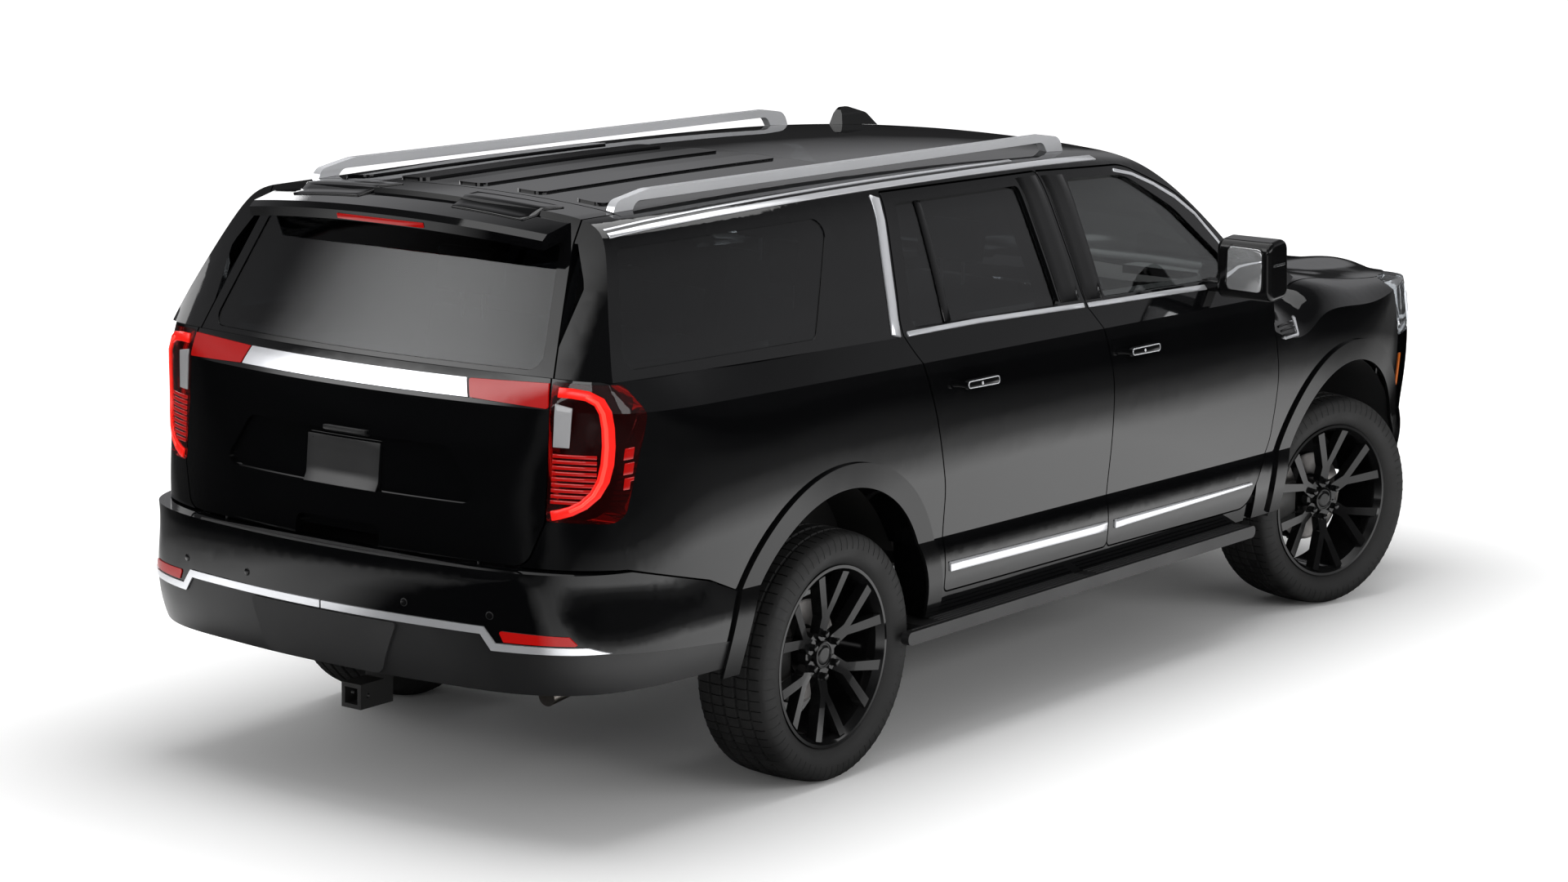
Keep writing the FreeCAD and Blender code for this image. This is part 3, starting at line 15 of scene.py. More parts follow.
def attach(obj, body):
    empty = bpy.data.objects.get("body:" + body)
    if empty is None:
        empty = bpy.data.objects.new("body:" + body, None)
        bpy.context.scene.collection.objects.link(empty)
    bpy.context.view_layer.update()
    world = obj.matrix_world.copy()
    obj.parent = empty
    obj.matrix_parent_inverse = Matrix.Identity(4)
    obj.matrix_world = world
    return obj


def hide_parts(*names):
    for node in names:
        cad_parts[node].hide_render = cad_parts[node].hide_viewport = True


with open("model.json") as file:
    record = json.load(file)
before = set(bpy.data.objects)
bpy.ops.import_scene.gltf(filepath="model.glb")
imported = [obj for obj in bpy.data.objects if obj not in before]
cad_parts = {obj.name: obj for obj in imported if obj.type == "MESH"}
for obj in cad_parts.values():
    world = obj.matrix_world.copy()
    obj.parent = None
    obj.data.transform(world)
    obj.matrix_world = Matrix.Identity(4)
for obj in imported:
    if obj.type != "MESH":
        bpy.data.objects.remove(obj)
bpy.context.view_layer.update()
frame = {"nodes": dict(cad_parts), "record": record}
nodes = frame["nodes"]

# %% [markdown]
# ## The camera
# The picture was taken from far behind the right rear corner with a long lens, a little above
# head height. A long lens keeps the far side nearly as tall as the near side. The camera is
# placed with a matrix: its own X is the picture's right, its Y the picture's top, and it looks
# along its minus Z.

# %% Place the camera
CAMERA_PLACE = (-7.92471, 11.44493, 3.34767)
YAW, PITCH, ROLL = 2.51569, -0.18301, 0.0186
LENS_MM, SENSOR_MM, FAR_END = 89.04, 36.0, 200.0

ahead = Vector((math.sin(YAW) * math.cos(PITCH), math.cos(YAW) * math.cos(PITCH), math.sin(PITCH)))
level_right = ahead.cross(Vector((0, 0, 1))).normalized()
level_up = level_right.cross(ahead)
right = math.cos(ROLL) * level_right + math.sin(ROLL) * level_up
up = math.cos(ROLL) * level_up - math.sin(ROLL) * level_right
lens = bpy.data.cameras.new("camera")
lens.sensor_width = SENSOR_MM
lens.lens = LENS_MM
lens.clip_end = FAR_END
camera = bpy.data.objects.new("camera", lens)
bpy.context.scene.collection.objects.link(camera)
turn = Matrix((right, up, -ahead)).transposed().to_4x4()
camera.matrix_world = Matrix.Translation(CAMERA_PLACE) @ turn
bpy.context.scene.camera = camera
bpy.context.scene.view_settings.view_transform = "Standard"
print("lens", lens.lens, "mm, looking along", [round(v, 3) for v in ahead])

# %% [markdown]
# ## Small helpers for node trees
# A node tree is easier to read when each step is one line. These helpers make one node each,
# feed it with sockets or plain numbers, and give back its output socket.

# %% One node, one line
def feed(tree, socket, value):
    """Sets a socket to a plain value, or links it to another node's output."""
    if isinstance(value, bpy.types.NodeSocket):
        tree.links.new(value, socket)
    else:
        socket.default_value = value


def maths(tree, operation, *values):
    """A Math node's result."""
    node = tree.nodes.new("ShaderNodeMath")
    node.operation = operation
    for socket, value in zip(node.inputs, values):
        feed(tree, socket, value)
    return node.outputs[0]


def vectors(tree, operation, *values, output="Vector"):
    """A Vector Math node's result."""
    node = tree.nodes.new("ShaderNodeVectorMath")
    node.operation = operation
    for socket, value in zip(node.inputs, values):
        feed(tree, socket, value)
    return node.outputs[output]


def ramp(tree, value, stops, blue=1.0):
    """A colour ramp of greys through (position, level) stops."""
    node = tree.nodes.new("ShaderNodeValToRGB")
    for position, level in stops:
        node.color_ramp.elements.new(position).color = (level, level, level * blue, 1)
    node.color_ramp.elements.remove(node.color_ramp.elements[0])
    node.color_ramp.elements.remove(node.color_ramp.elements[-1])
    feed(tree, node.inputs["Fac"], value)
    return node.outputs["Color"]


def shader_mix(tree, share, first, second):
    """Mixes two shaders by a share from 0, the first, to 1, the second."""
    node = tree.nodes.new("ShaderNodeMixShader")
    for socket, value in zip(node.inputs, (share, first, second)):
        feed(tree, socket, value)
    return node.outputs[0]


print("node helpers ready")

# %% [markdown]
# ## Light
# Black paint has almost no colour of its own, so the picture is made by what it mirrors: a
# graded room, brightest a little above the horizon, and large soft boxes that draw long lines
# along the shoulders. The world's shader asks Light Path which kind of ray has come. The camera
# sees plain white, mirrors and glass see the graded room, and the light that falls on the car
# is weaker, so that the background stays white while the car stays dark.

# %% White room
ROOM_LIGHT = 0.42
ROOM_LEVELS = ((0.0, 0.02), (0.08, 0.03), (0.16, 0.30), (0.30, 0.42), (0.65, 0.06))
ROOM_BLUE = 1.03
PATCH_TOWARD = (0.576, 0.699, 0.423)
PATCH_EDGE, PATCH_LEVEL = 0.92, 4.5
WHITE = (1, 1, 1, 1)


def background(tree, colour, strength):
    """A Background shader."""
    node = tree.nodes.new("ShaderNodeBackground")
    feed(tree, node.inputs["Color"], colour)
    node.inputs["Strength"].default_value = strength
    return node.outputs[0]


world = bpy.data.worlds.new("white_room")
bpy.context.scene.world = world
world.use_nodes = True
tree = world.node_tree
tree.nodes.clear()
toward = tree.nodes.new("ShaderNodeTexCoord").outputs["Generated"]
split = tree.nodes.new("ShaderNodeSeparateXYZ")
feed(tree, split.inputs["Vector"], toward)
walls = ramp(tree, split.outputs["Z"], ROOM_LEVELS, ROOM_BLUE)
patch = tree.nodes.new("ShaderNodeMapRange")
patch.interpolation_type = "SMOOTHSTEP"
patch.inputs["From Min"].default_value = PATCH_EDGE
patch.inputs["To Max"].default_value = PATCH_LEVEL
feed(tree, patch.inputs["Value"], vectors(tree, "DOT_PRODUCT", toward, PATCH_TOWARD, output="Value"))
graded = vectors(tree, "ADD", walls, patch.outputs["Result"])
ray = tree.nodes.new("ShaderNodeLightPath")
through = maths(tree, "MAXIMUM", ray.outputs["Is Glossy Ray"], ray.outputs["Is Transmission Ray"])
room = shader_mix(tree, through, background(tree, WHITE, ROOM_LIGHT), background(tree, graded, 1.0))
whole = shader_mix(tree, ray.outputs["Is Camera Ray"], room, background(tree, WHITE, 1.0))
out = tree.nodes.new("ShaderNodeOutputWorld")
feed(tree, out.inputs["Surface"], whole)
print("world: white to the camera, graded in mirrors")

# %% [markdown]
# ## The floor
# The floor is a pale matt sheet that keeps the car's soft shadow. For the camera it also glows,
# weakly beside the car and fully far away, so that it turns into the white background without
# an edge. Over the car's footprint the glow falls to nothing, which paints shade round the car
# on top of its real shadow and keeps that shadow deep. In mirrors it shows a bright band to each
# side of the car, which draws the long reflections along the doors.

# %% How far a point of the floor is from the car
FLOOR_RADIUS, FLOOR_DEPTH = 60, 0.0005
FLOOR_COLOUR = (0.92, 0.92, 0.92, 1)
# Painted shade: inside this box round the car the floor does not glow, and its glow grows with distance
# past it.
SHADED_HALF = (0.85, 2.6, 0)
GLOW_BY_DISTANCE = ((0.0, 0.0), (0.05, 0.18), (0.12, 0.42), (0.30, 0.50), (0.60, 0.80))
PER_METRE = 0.1

bpy.ops.object.select_all(action="DESELECT")
bpy.ops.mesh.primitive_circle_add(vertices=96, radius=FLOOR_RADIUS, fill_type="NGON",
                                  location=(0, 0, -FLOOR_DEPTH))
floor = bpy.context.active_object
floor.name = "floor_sheet"
floor_finish = bpy.data.materials.new("white_floor")
floor_finish.use_nodes = True
tree = floor_finish.node_tree
tree.nodes.clear()
on_floor = tree.nodes.new("ShaderNodeTexCoord").outputs["Object"]
one_side = vectors(tree, "ABSOLUTE", on_floor)
past_car = vectors(tree, "MAXIMUM", vectors(tree, "SUBTRACT", one_side, SHADED_HALF), (0, 0, 0))
distance = maths(tree, "MULTIPLY", vectors(tree, "LENGTH", past_car, output="Value"), PER_METRE)
# Painted shade: the glow is zero at the car and grows with distance, so the floor near the car is darker
# than its lamps alone make it.
glow_with_painted_shade = ramp(tree, distance, GLOW_BY_DISTANCE)
print("floor glow:", GLOW_BY_DISTANCE[0], "to", GLOW_BY_DISTANCE[-1], "in tens of metres")

# %% What the camera sees and what mirrors see
BAND_BESIDE = ((0.12, 0.0), (0.19, 0.9), (0.28, 1.0), (0.35, 0.35), (0.44, 0.10), (0.70, 0.03))
BAND_ALONG = ((0.30, 1.0), (0.62, 0.45), (0.90, 0.08))
BAND_LEVEL = 2.0

ray = tree.nodes.new("ShaderNodeLightPath")
seen = maths(tree, "MAXIMUM", ray.outputs["Is Camera Ray"], ray.outputs["Is Transmission Ray"])
glow = tree.nodes.new("ShaderNodeEmission")
feed(tree, glow.inputs["Strength"], maths(tree, "MULTIPLY", seen, glow_with_painted_shade))
matt = tree.nodes.new("ShaderNodeBsdfDiffuse")
matt.inputs["Color"].default_value = FLOOR_COLOUR
both_ways = tree.nodes.new("ShaderNodeAddShader")
feed(tree, both_ways.inputs[0], matt.outputs[0])
feed(tree, both_ways.inputs[1], glow.outputs[0])
split = tree.nodes.new("ShaderNodeSeparateXYZ")
feed(tree, split.inputs["Vector"], one_side)
beside = ramp(tree, maths(tree, "MULTIPLY", split.outputs["X"], PER_METRE), BAND_BESIDE)
along = ramp(tree, maths(tree, "MULTIPLY", split.outputs["Y"], PER_METRE), BAND_ALONG)
mirrored = tree.nodes.new("ShaderNodeEmission")
band_level = maths(tree, "MULTIPLY", maths(tree, "MULTIPLY", beside, along), BAND_LEVEL)
feed(tree, mirrored.inputs["Strength"], band_level)
out = tree.nodes.new("ShaderNodeOutputMaterial")
chosen = shader_mix(tree, ray.outputs["Is Glossy Ray"], both_ways.outputs[0], mirrored.outputs[0])
feed(tree, out.inputs["Surface"], chosen)
floor.data.materials.append(floor_finish)
print("floor ready")


# %% Soft boxes
def soft_box(name, size, place, target, power, mirrored=True):
    """A rectangular lamp of a plain soft light, turned to face a point."""
    lamp = bpy.data.lights.new(name, "AREA")
    lamp.shape = "RECTANGLE"
    lamp.size, lamp.size_y = size
    lamp.energy = power
    holder = bpy.data.objects.new(name, lamp)
    bpy.context.scene.collection.objects.link(holder)
    aim = (Vector(target) - Vector(place)).to_track_quat("-Z", "Y").to_matrix().to_4x4()
    holder.matrix_world = Matrix.Translation(place) @ aim
    holder.visible_glossy = mirrored


soft_box("top_box", (5.0, 9.0), (0, 0, 6.5), (0, 0, 0), 260)
soft_box("right_box", (8.0, 1.6), (-7.5, 0.5, 3.4), (0, 0.3, 0.9), 150)
soft_box("rear_box", (4.5, 1.6), (-1.5, 9.5, 3.2), (0, 2, 0.9), 90)
soft_box("left_box", (8.0, 1.6), (7.5, 0, 3.4), (0, 0, 0.9), 110)
soft_box("nose_box", (4.5, 1.6), (0, -9.5, 3.2), (0, -2, 0.9), 80, mirrored=False)
print("soft boxes:", len(bpy.data.lights))

# %% [markdown]
# ## Finishes
# Each finish is a small node tree on one shader. Two effects do most of the work: a coarse one
# shifts the colour and the roughness a little, as dust, handling and moulding do, and a fine
# one gives the grain that catches the light. Every finish uses the first and all but glass and
# lenses the second, so each is a node group with named sockets, built once. Both read Object
# coordinates, which are metres here, so the grain has its real size.

# %% Two node groups that the finishes share
def new_group(name, inputs, outputs):
    """A shader node group with named sockets, ready to be filled."""
    tree = bpy.data.node_groups.new(name, "ShaderNodeTree")
    for label, kind in inputs:
        tree.interface.new_socket(name=label, in_out="INPUT", socket_type=kind)
    for label, kind in outputs:
        tree.interface.new_socket(name=label, in_out="OUTPUT", socket_type=kind)
    return tree, tree.nodes.new("NodeGroupInput"), tree.nodes.new("NodeGroupOutput")


def noise_in(tree, given, detail):
    """A noise inside a group, placed and scaled by the group's own inputs."""
    texture = tree.nodes.new("ShaderNodeTexNoise")
    texture.inputs["Detail"].default_value = detail
    tree.links.new(given.outputs["Place"], texture.inputs["Vector"])
    tree.links.new(given.outputs["Scale"], texture.inputs["Scale"])
    return texture


wander, given, result = new_group(
    "wander", (("Place", "NodeSocketVector"), ("Scale", "NodeSocketFloat"), ("First", "NodeSocketColor"),
               ("Second", "NodeSocketColor"), ("Smooth", "NodeSocketFloat"), ("Rough", "NodeSocketFloat")),
    (("Color", "NodeSocketColor"), ("Roughness", "NodeSocketFloat")))
coarse = noise_in(wander, given, 3.0)
share = wander.nodes.new("ShaderNodeMapRange")
share.inputs["From Min"].default_value = 0.3
share.inputs["From Max"].default_value = 0.7
shade = wander.nodes.new("ShaderNodeMix")
shade.data_type = "RGBA"
spread = wander.nodes.new("ShaderNodeMapRange")
wander.links.new(coarse.outputs["Fac"], share.inputs["Value"])
wander.links.new(share.outputs["Result"], shade.inputs["Factor"])
wander.links.new(given.outputs["First"], shade.inputs["A"])
wander.links.new(given.outputs["Second"], shade.inputs["B"])
wander.links.new(share.outputs["Result"], spread.inputs["Value"])
wander.links.new(given.outputs["Smooth"], spread.inputs["To Min"])
wander.links.new(given.outputs["Rough"], spread.inputs["To Max"])
wander.links.new(shade.outputs["Result"], result.inputs["Color"])
wander.links.new(spread.outputs["Result"], result.inputs["Roughness"])
grain_group, given, result = new_group(
    "grain", (("Place", "NodeSocketVector"), ("Scale", "NodeSocketFloat")),
    (("Height", "NodeSocketFloat"),))
fine = noise_in(grain_group, given, 2.0)
grain_group.links.new(fine.outputs["Fac"], result.inputs["Height"])
print("groups:", [group.name for group in bpy.data.node_groups])


# %% A helper for finishes
def placed(tree, group, place, scale):
    """Puts a shared group into a material, on object coordinates."""
    node = tree.nodes.new("ShaderNodeGroup")
    node.node_tree = group
    node.inputs["Scale"].default_value = scale
    tree.links.new(place.outputs["Object"], node.inputs["Place"])
    return node


def finish(name, colour, second, rough, metal=0.0, ior=1.45, grain=None, patch=3.0, clear=0.0,
           glow=None):
    """A shader whose colour and roughness wander a little, with a fine grain in relief."""
    made = bpy.data.materials.new(name)
    made.use_nodes = True
    tree = made.node_tree
    shader = tree.nodes["Principled BSDF"]
    shader.inputs["Metallic"].default_value = metal
    shader.inputs["IOR"].default_value = ior
    shader.inputs["Transmission Weight"].default_value = clear
    place = tree.nodes.new("ShaderNodeTexCoord")
    drift = placed(tree, wander, place, patch)
    drift.inputs["First"].default_value = (*colour, 1)
    drift.inputs["Second"].default_value = (*second, 1)
    drift.inputs["Smooth"].default_value, drift.inputs["Rough"].default_value = rough
    tree.links.new(drift.outputs["Color"], shader.inputs["Base Color"])
    tree.links.new(drift.outputs["Roughness"], shader.inputs["Roughness"])
    if grain:
        strength, scale = grain
        relief = tree.nodes.new("ShaderNodeBump")
        relief.inputs["Strength"].default_value = strength
        relief.inputs["Distance"].default_value = 0.001
        tree.links.new(placed(tree, grain_group, place, scale).outputs["Height"], relief.inputs["Height"])
        tree.links.new(relief.outputs["Normal"], shader.inputs["Normal"])
    if glow:
        shader.inputs["Emission Color"].default_value = (*glow[0], 1)
        shader.inputs["Emission Strength"].default_value = glow[1]
    return made


# %% The finishes of this car
paint = finish("gloss_paint", (0.0022, 0.0023, 0.0026), (0.003, 0.0031, 0.0034), (0.03, 0.045),
               grain=(0.012, 900.0), patch=1.5)
gloss_black = finish("gloss_moulding", (0.004, 0.004, 0.0042), (0.006, 0.006, 0.0062), (0.08, 0.14),
                     ior=1.35, grain=(0.02, 700.0))
satin_black = finish("satin_moulding", (0.012, 0.012, 0.0125), (0.018, 0.018, 0.0185), (0.32, 0.42),
                     grain=(0.1, 1400.0))
grained = finish("grained_plastic", (0.016, 0.016, 0.0165), (0.024, 0.024, 0.0245), (0.5, 0.62),
                 grain=(0.35, 1500.0))
chrome = finish("bright_trim", (0.86, 0.87, 0.90), (0.80, 0.81, 0.84), (0.10, 0.16), metal=0.6,
                grain=(0.01, 300.0))
satin_metal = finish("satin_rail", (0.93, 0.94, 0.97), (0.88, 0.89, 0.92), (0.08, 0.14), metal=0.35,
                     grain=(0.02, 900.0))
rubber = finish("tyre_rubber", (0.012, 0.012, 0.0122), (0.02, 0.0198, 0.0195), (0.55, 0.75),
                grain=(0.25, 900.0), patch=9.0)
wheel_black = finish("wheel_lacquer", (0.005, 0.005, 0.0052), (0.008, 0.008, 0.0082), (0.07, 0.13), ior=1.4,
                     grain=(0.02, 600.0))
brake_iron = finish("brake_iron", (0.30, 0.29, 0.28), (0.2, 0.19, 0.185), (0.28, 0.42), metal=1.0,
                    grain=(0.2, 500.0), patch=14.0)
cast = finish("cast_metal", (0.16, 0.16, 0.158), (0.1, 0.1, 0.098), (0.5, 0.65), metal=0.6,
              grain=(0.5, 350.0), patch=8.0)
chassis = finish("chassis_coating", (0.012, 0.012, 0.012), (0.02, 0.019, 0.018), (0.45, 0.65),
                 grain=(0.3, 420.0), patch=5.0)
bare_steel = finish("exhaust_steel", (0.36, 0.34, 0.31), (0.24, 0.21, 0.19), (0.3, 0.45), metal=1.0,
                    grain=(0.15, 300.0), patch=6.0)
leather = finish("seat_leather", (0.020, 0.0195, 0.019), (0.030, 0.029, 0.028), (0.42, 0.55),
                 grain=(0.55, 650.0), patch=4.0)
dark_glass = finish("privacy_glass", (0.16, 0.17, 0.18), (0.14, 0.15, 0.16), (0.0, 0.01), clear=1.0)
front_glass = finish("clear_glass", (0.82, 0.86, 0.85), (0.80, 0.84, 0.83), (0.0, 0.01), clear=1.0)
red_lens = finish("red_lens", (0.38, 0.006, 0.005), (0.30, 0.005, 0.004), (0.03, 0.06), ior=1.49,
                  glow=((0.8, 0.01, 0.008), 0.16))
smoked_lens = finish("smoked_lens", (0.12, 0.012, 0.012), (0.10, 0.01, 0.01), (0.0, 0.02),
                     ior=1.4, clear=0.9)
clear_lens = finish("clear_lens", (0.9, 0.92, 0.94), (0.86, 0.88, 0.9), (0.0, 0.02),
                    ior=1.4, clear=0.95)
amber = finish("amber_lens", (0.7, 0.16, 0.01), (0.6, 0.13, 0.01), (0.05, 0.1))
red_glow = finish("lit_red", (0.6, 0.004, 0.003), (0.5, 0.003, 0.003), (0.2, 0.3),
                  glow=((1.0, 0.02, 0.01), 0.55))
print("finishes:", len(bpy.data.materials))

# %% [markdown]
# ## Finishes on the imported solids
# Most solids have the right shape already, so they only need their finish. The record groups
# them by slot, which is a quick first sort, and the few that differ are named one by one.

# %% Give every solid its finish
by_slot = {
    "body_paint": paint, "dark_gloss_plastic": gloss_black, "dark_plastic": grained, "bright_trim": chrome,
    "satin_rail": satin_metal, "tyre": rubber, "wheel": wheel_black, "window_glass": dark_glass,
    "lamp_red": smoked_lens, "lamp_clear": clear_lens, "seat_leather": leather, "frame_steel": chassis,
    "cast_metal": cast, "exhaust_steel": bare_steel}
by_name = {
    "windscreen": front_glass, "glass_front_left": front_glass, "glass_front_right": front_glass,
    "mirror_left": gloss_black, "mirror_right": gloss_black, "antenna": gloss_black,
    "rear_valance": satin_black, "running_boards": satin_black, "gate_lamps": red_lens,
    "bumper_lamps": red_lens}
slots = {part["node"]: part["material_slot"] for part in frame["record"]["subparts"]}
for name, node in nodes.items():
    node.data.materials.clear()
    node.data.materials.append(by_name.get(name, by_slot.get(slots.get(name), paint)))
print("dressed", len(nodes), "solids")

# %% [markdown]
# ## Tools for modelling
# The pieces below are made as by hand: an outline is drawn point by point, filled, bent onto the
# car with a Shrinkwrap, given its thickness, and its edges are rounded. Those steps repeat, so
# each is written once. Everything is deselected before a new piece is begun, because the packed
# solids come in selected.

# %% Draw flat pieces
def clear():
    """Leaves edit mode and deselects everything."""
    if bpy.context.object and bpy.context.object.mode != "OBJECT":
        bpy.ops.object.mode_set(mode="OBJECT")
    bpy.ops.object.select_all(action="DESELECT")


def edit_all():
    """Enters edit mode with the whole mesh selected."""
    bpy.ops.object.mode_set(mode="EDIT")
    bpy.ops.mesh.select_all(action="SELECT")


def leave_edit():
    """Goes back to object mode."""
    bpy.ops.object.mode_set(mode="OBJECT")


def bake():
    """Moves place, turn and scale of the selected pieces into their meshes."""
    bpy.ops.object.transform_apply(location=True, rotation=True, scale=True)


def choose(*pieces):
    """Selects pieces; the first becomes the active one."""
    clear()
    for piece in pieces:
        piece.select_set(True)
    bpy.context.view_layer.objects.active = pieces[0]
    return pieces[0]


def line(name, points):
    """A row of edges drawn from point to point."""
    clear()
    points = [Vector(point) for point in points]
    bpy.ops.mesh.primitive_plane_add(size=0.01, location=points[0])
    piece = bpy.context.active_object
    piece.name = name
    bpy.ops.object.mode_set(mode="EDIT")
    bpy.ops.mesh.select_mode(type="VERT")
    bpy.ops.mesh.select_all(action="SELECT")
    bpy.ops.mesh.merge(type="CENTER")
    for start, stop in zip(points, points[1:]):
        bpy.ops.mesh.extrude_vertices_move(TRANSFORM_OT_translate={"value": stop - start})
    bpy.ops.mesh.select_all(action="SELECT")
    return piece


def ribbon(name, points, width):
    """A flat strip: a drawn line pulled sideways by a vector."""
    piece = line(name, points)
    bpy.ops.mesh.extrude_edges_move(TRANSFORM_OT_translate={"value": Vector(width)})
    leave_edit()
    return piece


def sheet(name, points, round_by, steps):
    """A filled outline with rounded corners."""
    piece = line(name, points)
    bpy.ops.mesh.edge_face_add()
    bpy.ops.mesh.select_all(action="SELECT")
    bpy.ops.mesh.bevel(offset=round_by, segments=steps, affect="VERTICES")
    leave_edit()
    return piece


def hollow(piece, width):
    """Leaves only a band of one width along the outline of a flat piece."""
    choose(piece)
    edit_all()
    bpy.ops.mesh.inset(thickness=width)
    bpy.ops.mesh.delete(type="FACE")
    leave_edit()
    return piece


def grid(name, corners, across, along):
    """A four-cornered patch, divided so that it can bend; corners go round in order."""
    clear()
    bpy.ops.mesh.primitive_grid_add(x_subdivisions=across, y_subdivisions=along, size=2.0)
    piece = bpy.context.active_object
    piece.name = name
    a, b, c, d = [Vector(corner) for corner in corners]
    for vertex in piece.data.vertices:
        u, v = (vertex.co.x + 1) / 2, (vertex.co.y + 1) / 2
        vertex.co = (a * (1 - u) + b * u) * (1 - v) + (d * (1 - u) + c * u) * v
    return piece


print("drawing tools ready")


# %% Bend a flat piece onto the car and thicken it
def apply(piece, kind, **settings):
    """Adds one modifier and applies it."""
    choose(piece)
    step = piece.modifiers.new(kind.title(), kind)
    for key, value in settings.items():
        setattr(step, key, value)
    bpy.ops.object.modifier_apply(modifier=step.name)
    return piece


def surface(*names):
    """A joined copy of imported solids, to bend pieces onto."""
    copies = []
    for name in names:
        twin = nodes[name].copy()
        twin.data = nodes[name].data.copy()
        twin.parent = None
        bpy.context.scene.collection.objects.link(twin)
        copies.append(twin)
    choose(*copies)
    if len(copies) > 1:
        bpy.ops.object.join()
    return bpy.context.view_layer.objects.active


NOT_MOVED = 1e-6


def bend_onto(piece, names, toward):
    """Projects every point of a piece onto solids, looking along one axis such as "+X"."""
    target = surface(*names)
    sign, axis = toward[0], toward[1].lower()
    settings = {"use_project_%s" % name: name == axis for name in "xyz"}
    before = [vertex.co.copy() for vertex in piece.data.vertices]
    apply(piece, "SHRINKWRAP", target=target, wrap_method="PROJECT",
          use_positive_direction=sign == "+", use_negative_direction=sign == "-", **settings)
    bpy.data.objects.remove(target)
    missed = [number for number, (vertex, place) in enumerate(zip(piece.data.vertices, before))
              if (vertex.co - place).length < NOT_MOVED]
    if missed:
        for polygon in piece.data.polygons:
            polygon.select = False
        for side in piece.data.edges:
            side.select = False
        for vertex in piece.data.vertices:
            vertex.select = vertex.index in missed
        choose(piece)
        bpy.ops.object.mode_set(mode="EDIT")
        bpy.ops.mesh.select_mode(type="VERT")
        bpy.ops.mesh.delete(type="VERT")
        leave_edit()
        print(piece.name, "has", len(missed), "points off the panel, removed")
    return piece


def thicken(piece, thick, edge=0.0, turns=2):
    """Gives a sheet its thickness, half to each side, and rounds its edges."""
    apply(piece, "SOLIDIFY", thickness=thick, offset=0.0)
    if edge:
        apply(piece, "BEVEL", width=edge, segments=turns, limit_method="ANGLE", angle_limit=0.7)
    return piece


def fit_on(piece, names, toward, thick, edge, turns=2):
    """Bends a flat piece onto solids, then gives it its thickness."""
    bend_onto(piece, names, toward)
    return thicken(piece, thick, edge, turns)


print("bending tools ready")


# %% Finish a piece and mirror it
def settle(piece, body, material, smooth=35.0):
    """The last steps of every piece: place into the mesh, shading, finish, body."""
    choose(piece)
    bake()
    edit_all()
    bpy.ops.mesh.normals_make_consistent(inside=False)
    leave_edit()
    bpy.ops.object.shade_smooth_by_angle(angle=math.radians(smooth))
    piece.data.materials.clear()
    piece.data.materials.append(material)
    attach(piece, body)
    return piece


def twin_of(piece, name, body):
    """The same piece on the other side of the car, with its own mesh."""
    other = piece.copy()
    other.data = piece.data.copy()
    other.name = name
    bpy.context.scene.collection.objects.link(other)
    choose(other)
    other.parent = None
    other.matrix_world = Matrix.Scale(-1, 4, (1, 0, 0))
    bake()
    edit_all()
    bpy.ops.mesh.normals_make_consistent(inside=False)
    leave_edit()
    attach(other, body)
    return other


def both_sides(name, piece, body, material):
    """Finishes a piece of the right side and sets its mirror image on the left side."""
    settle(piece, body.replace("SIDE", "right"), material)
    piece.name = name + "_right"
    other = twin_of(piece, name + "_left", body.replace("SIDE", "left"))
    return piece, other


print("finishing tools ready")


# %% Planes to draw on
OUTSIDE, BEHIND, ABOVE, AHEAD = -1.35, 3.1, 2.3, -3.2


def beside(*points):
    """Points (y, z) on an upright plane beside the right side."""
    return [(OUTSIDE, y, z) for y, z in points]


def behind(*points):
    """Points (x, z) on an upright plane behind the car."""
    return [(x, BEHIND, z) for x, z in points]


def above(*points):
    """Points (x, y) on a level plane over the car."""
    return [(x, y, ABOVE) for x, y in points]


def before_nose(*points):
    """Points (x, z) on an upright plane before the nose."""
    return [(x, AHEAD, z) for x, z in points]


print("drawing planes at", OUTSIDE, BEHIND, ABOVE, AHEAD)


# %% A band between two lines
def band(name, points, width, plane="XZ"):
    """A strip of quads of one width that follows a bent path in a plane."""
    flat = [Vector((p[0], p[2])) if plane == "XZ" else Vector((p[1], p[2])) for p in points]
    sides = ([], [])
    for number, point in enumerate(flat):
        back = flat[max(number - 1, 0)]
        front = flat[min(number + 1, len(flat) - 1)]
        along = (front - back).normalized()
        normal = Vector((-along.y, along.x)) * width / 2
        for row, shifted in zip(sides, (point + normal, point - normal)):
            if plane == "XZ":
                row.append((shifted.x, points[number][1], shifted.y))
            else:
                row.append((points[number][0], shifted.x, shifted.y))
    first = line(name, sides[0])
    leave_edit()
    second = line(name + "_edge", sides[1])
    leave_edit()
    for piece in (first, second):
        choose(piece)
        bake()
    choose(first, second)
    bpy.ops.object.join()
    edit_all()
    bpy.ops.mesh.bridge_edge_loops()
    leave_edit()
    return bpy.context.view_layer.objects.active


# %% [markdown]
# ## Bright lines along the windows
# Real window lines are bright strips, pressed from thin sheet, with a rolled edge. They follow
# the body exactly, so each one is drawn flat beside the car and projected onto its panel. A
# strip that crossed a gap between two panels would tear when a door opens, so each panel has
# its own length.

# %% Roof line over the windows
path = beside((2.40, 1.818), (2.2, 1.827), (1.9, 1.836), (1.6, 1.842), (1.3, 1.846), (1.0, 1.848),
              (0.7, 1.848), (0.4, 1.847), (0.1, 1.844), (-0.15, 1.840), (-0.4, 1.832))
trim = ribbon("roof_line", path, (0, 0, 0.013))
fit_on(trim, ["body_side_right"], "+X", 0.008, 0.0015)
both_sides("roof_line", trim, "root", chrome)
THIN_LINE_UP = 0.020
path = [(x, y, z + THIN_LINE_UP) for x, y, z in path[:-2]]
trim = ribbon("thin_roof_line", path, (0, 0, 0.004))
fit_on(trim, ["body_side_right", "roof_panel"], "+X", 0.005, 0.001)
both_sides("thin_roof_line", trim, "root", chrome)
print("roof lines")

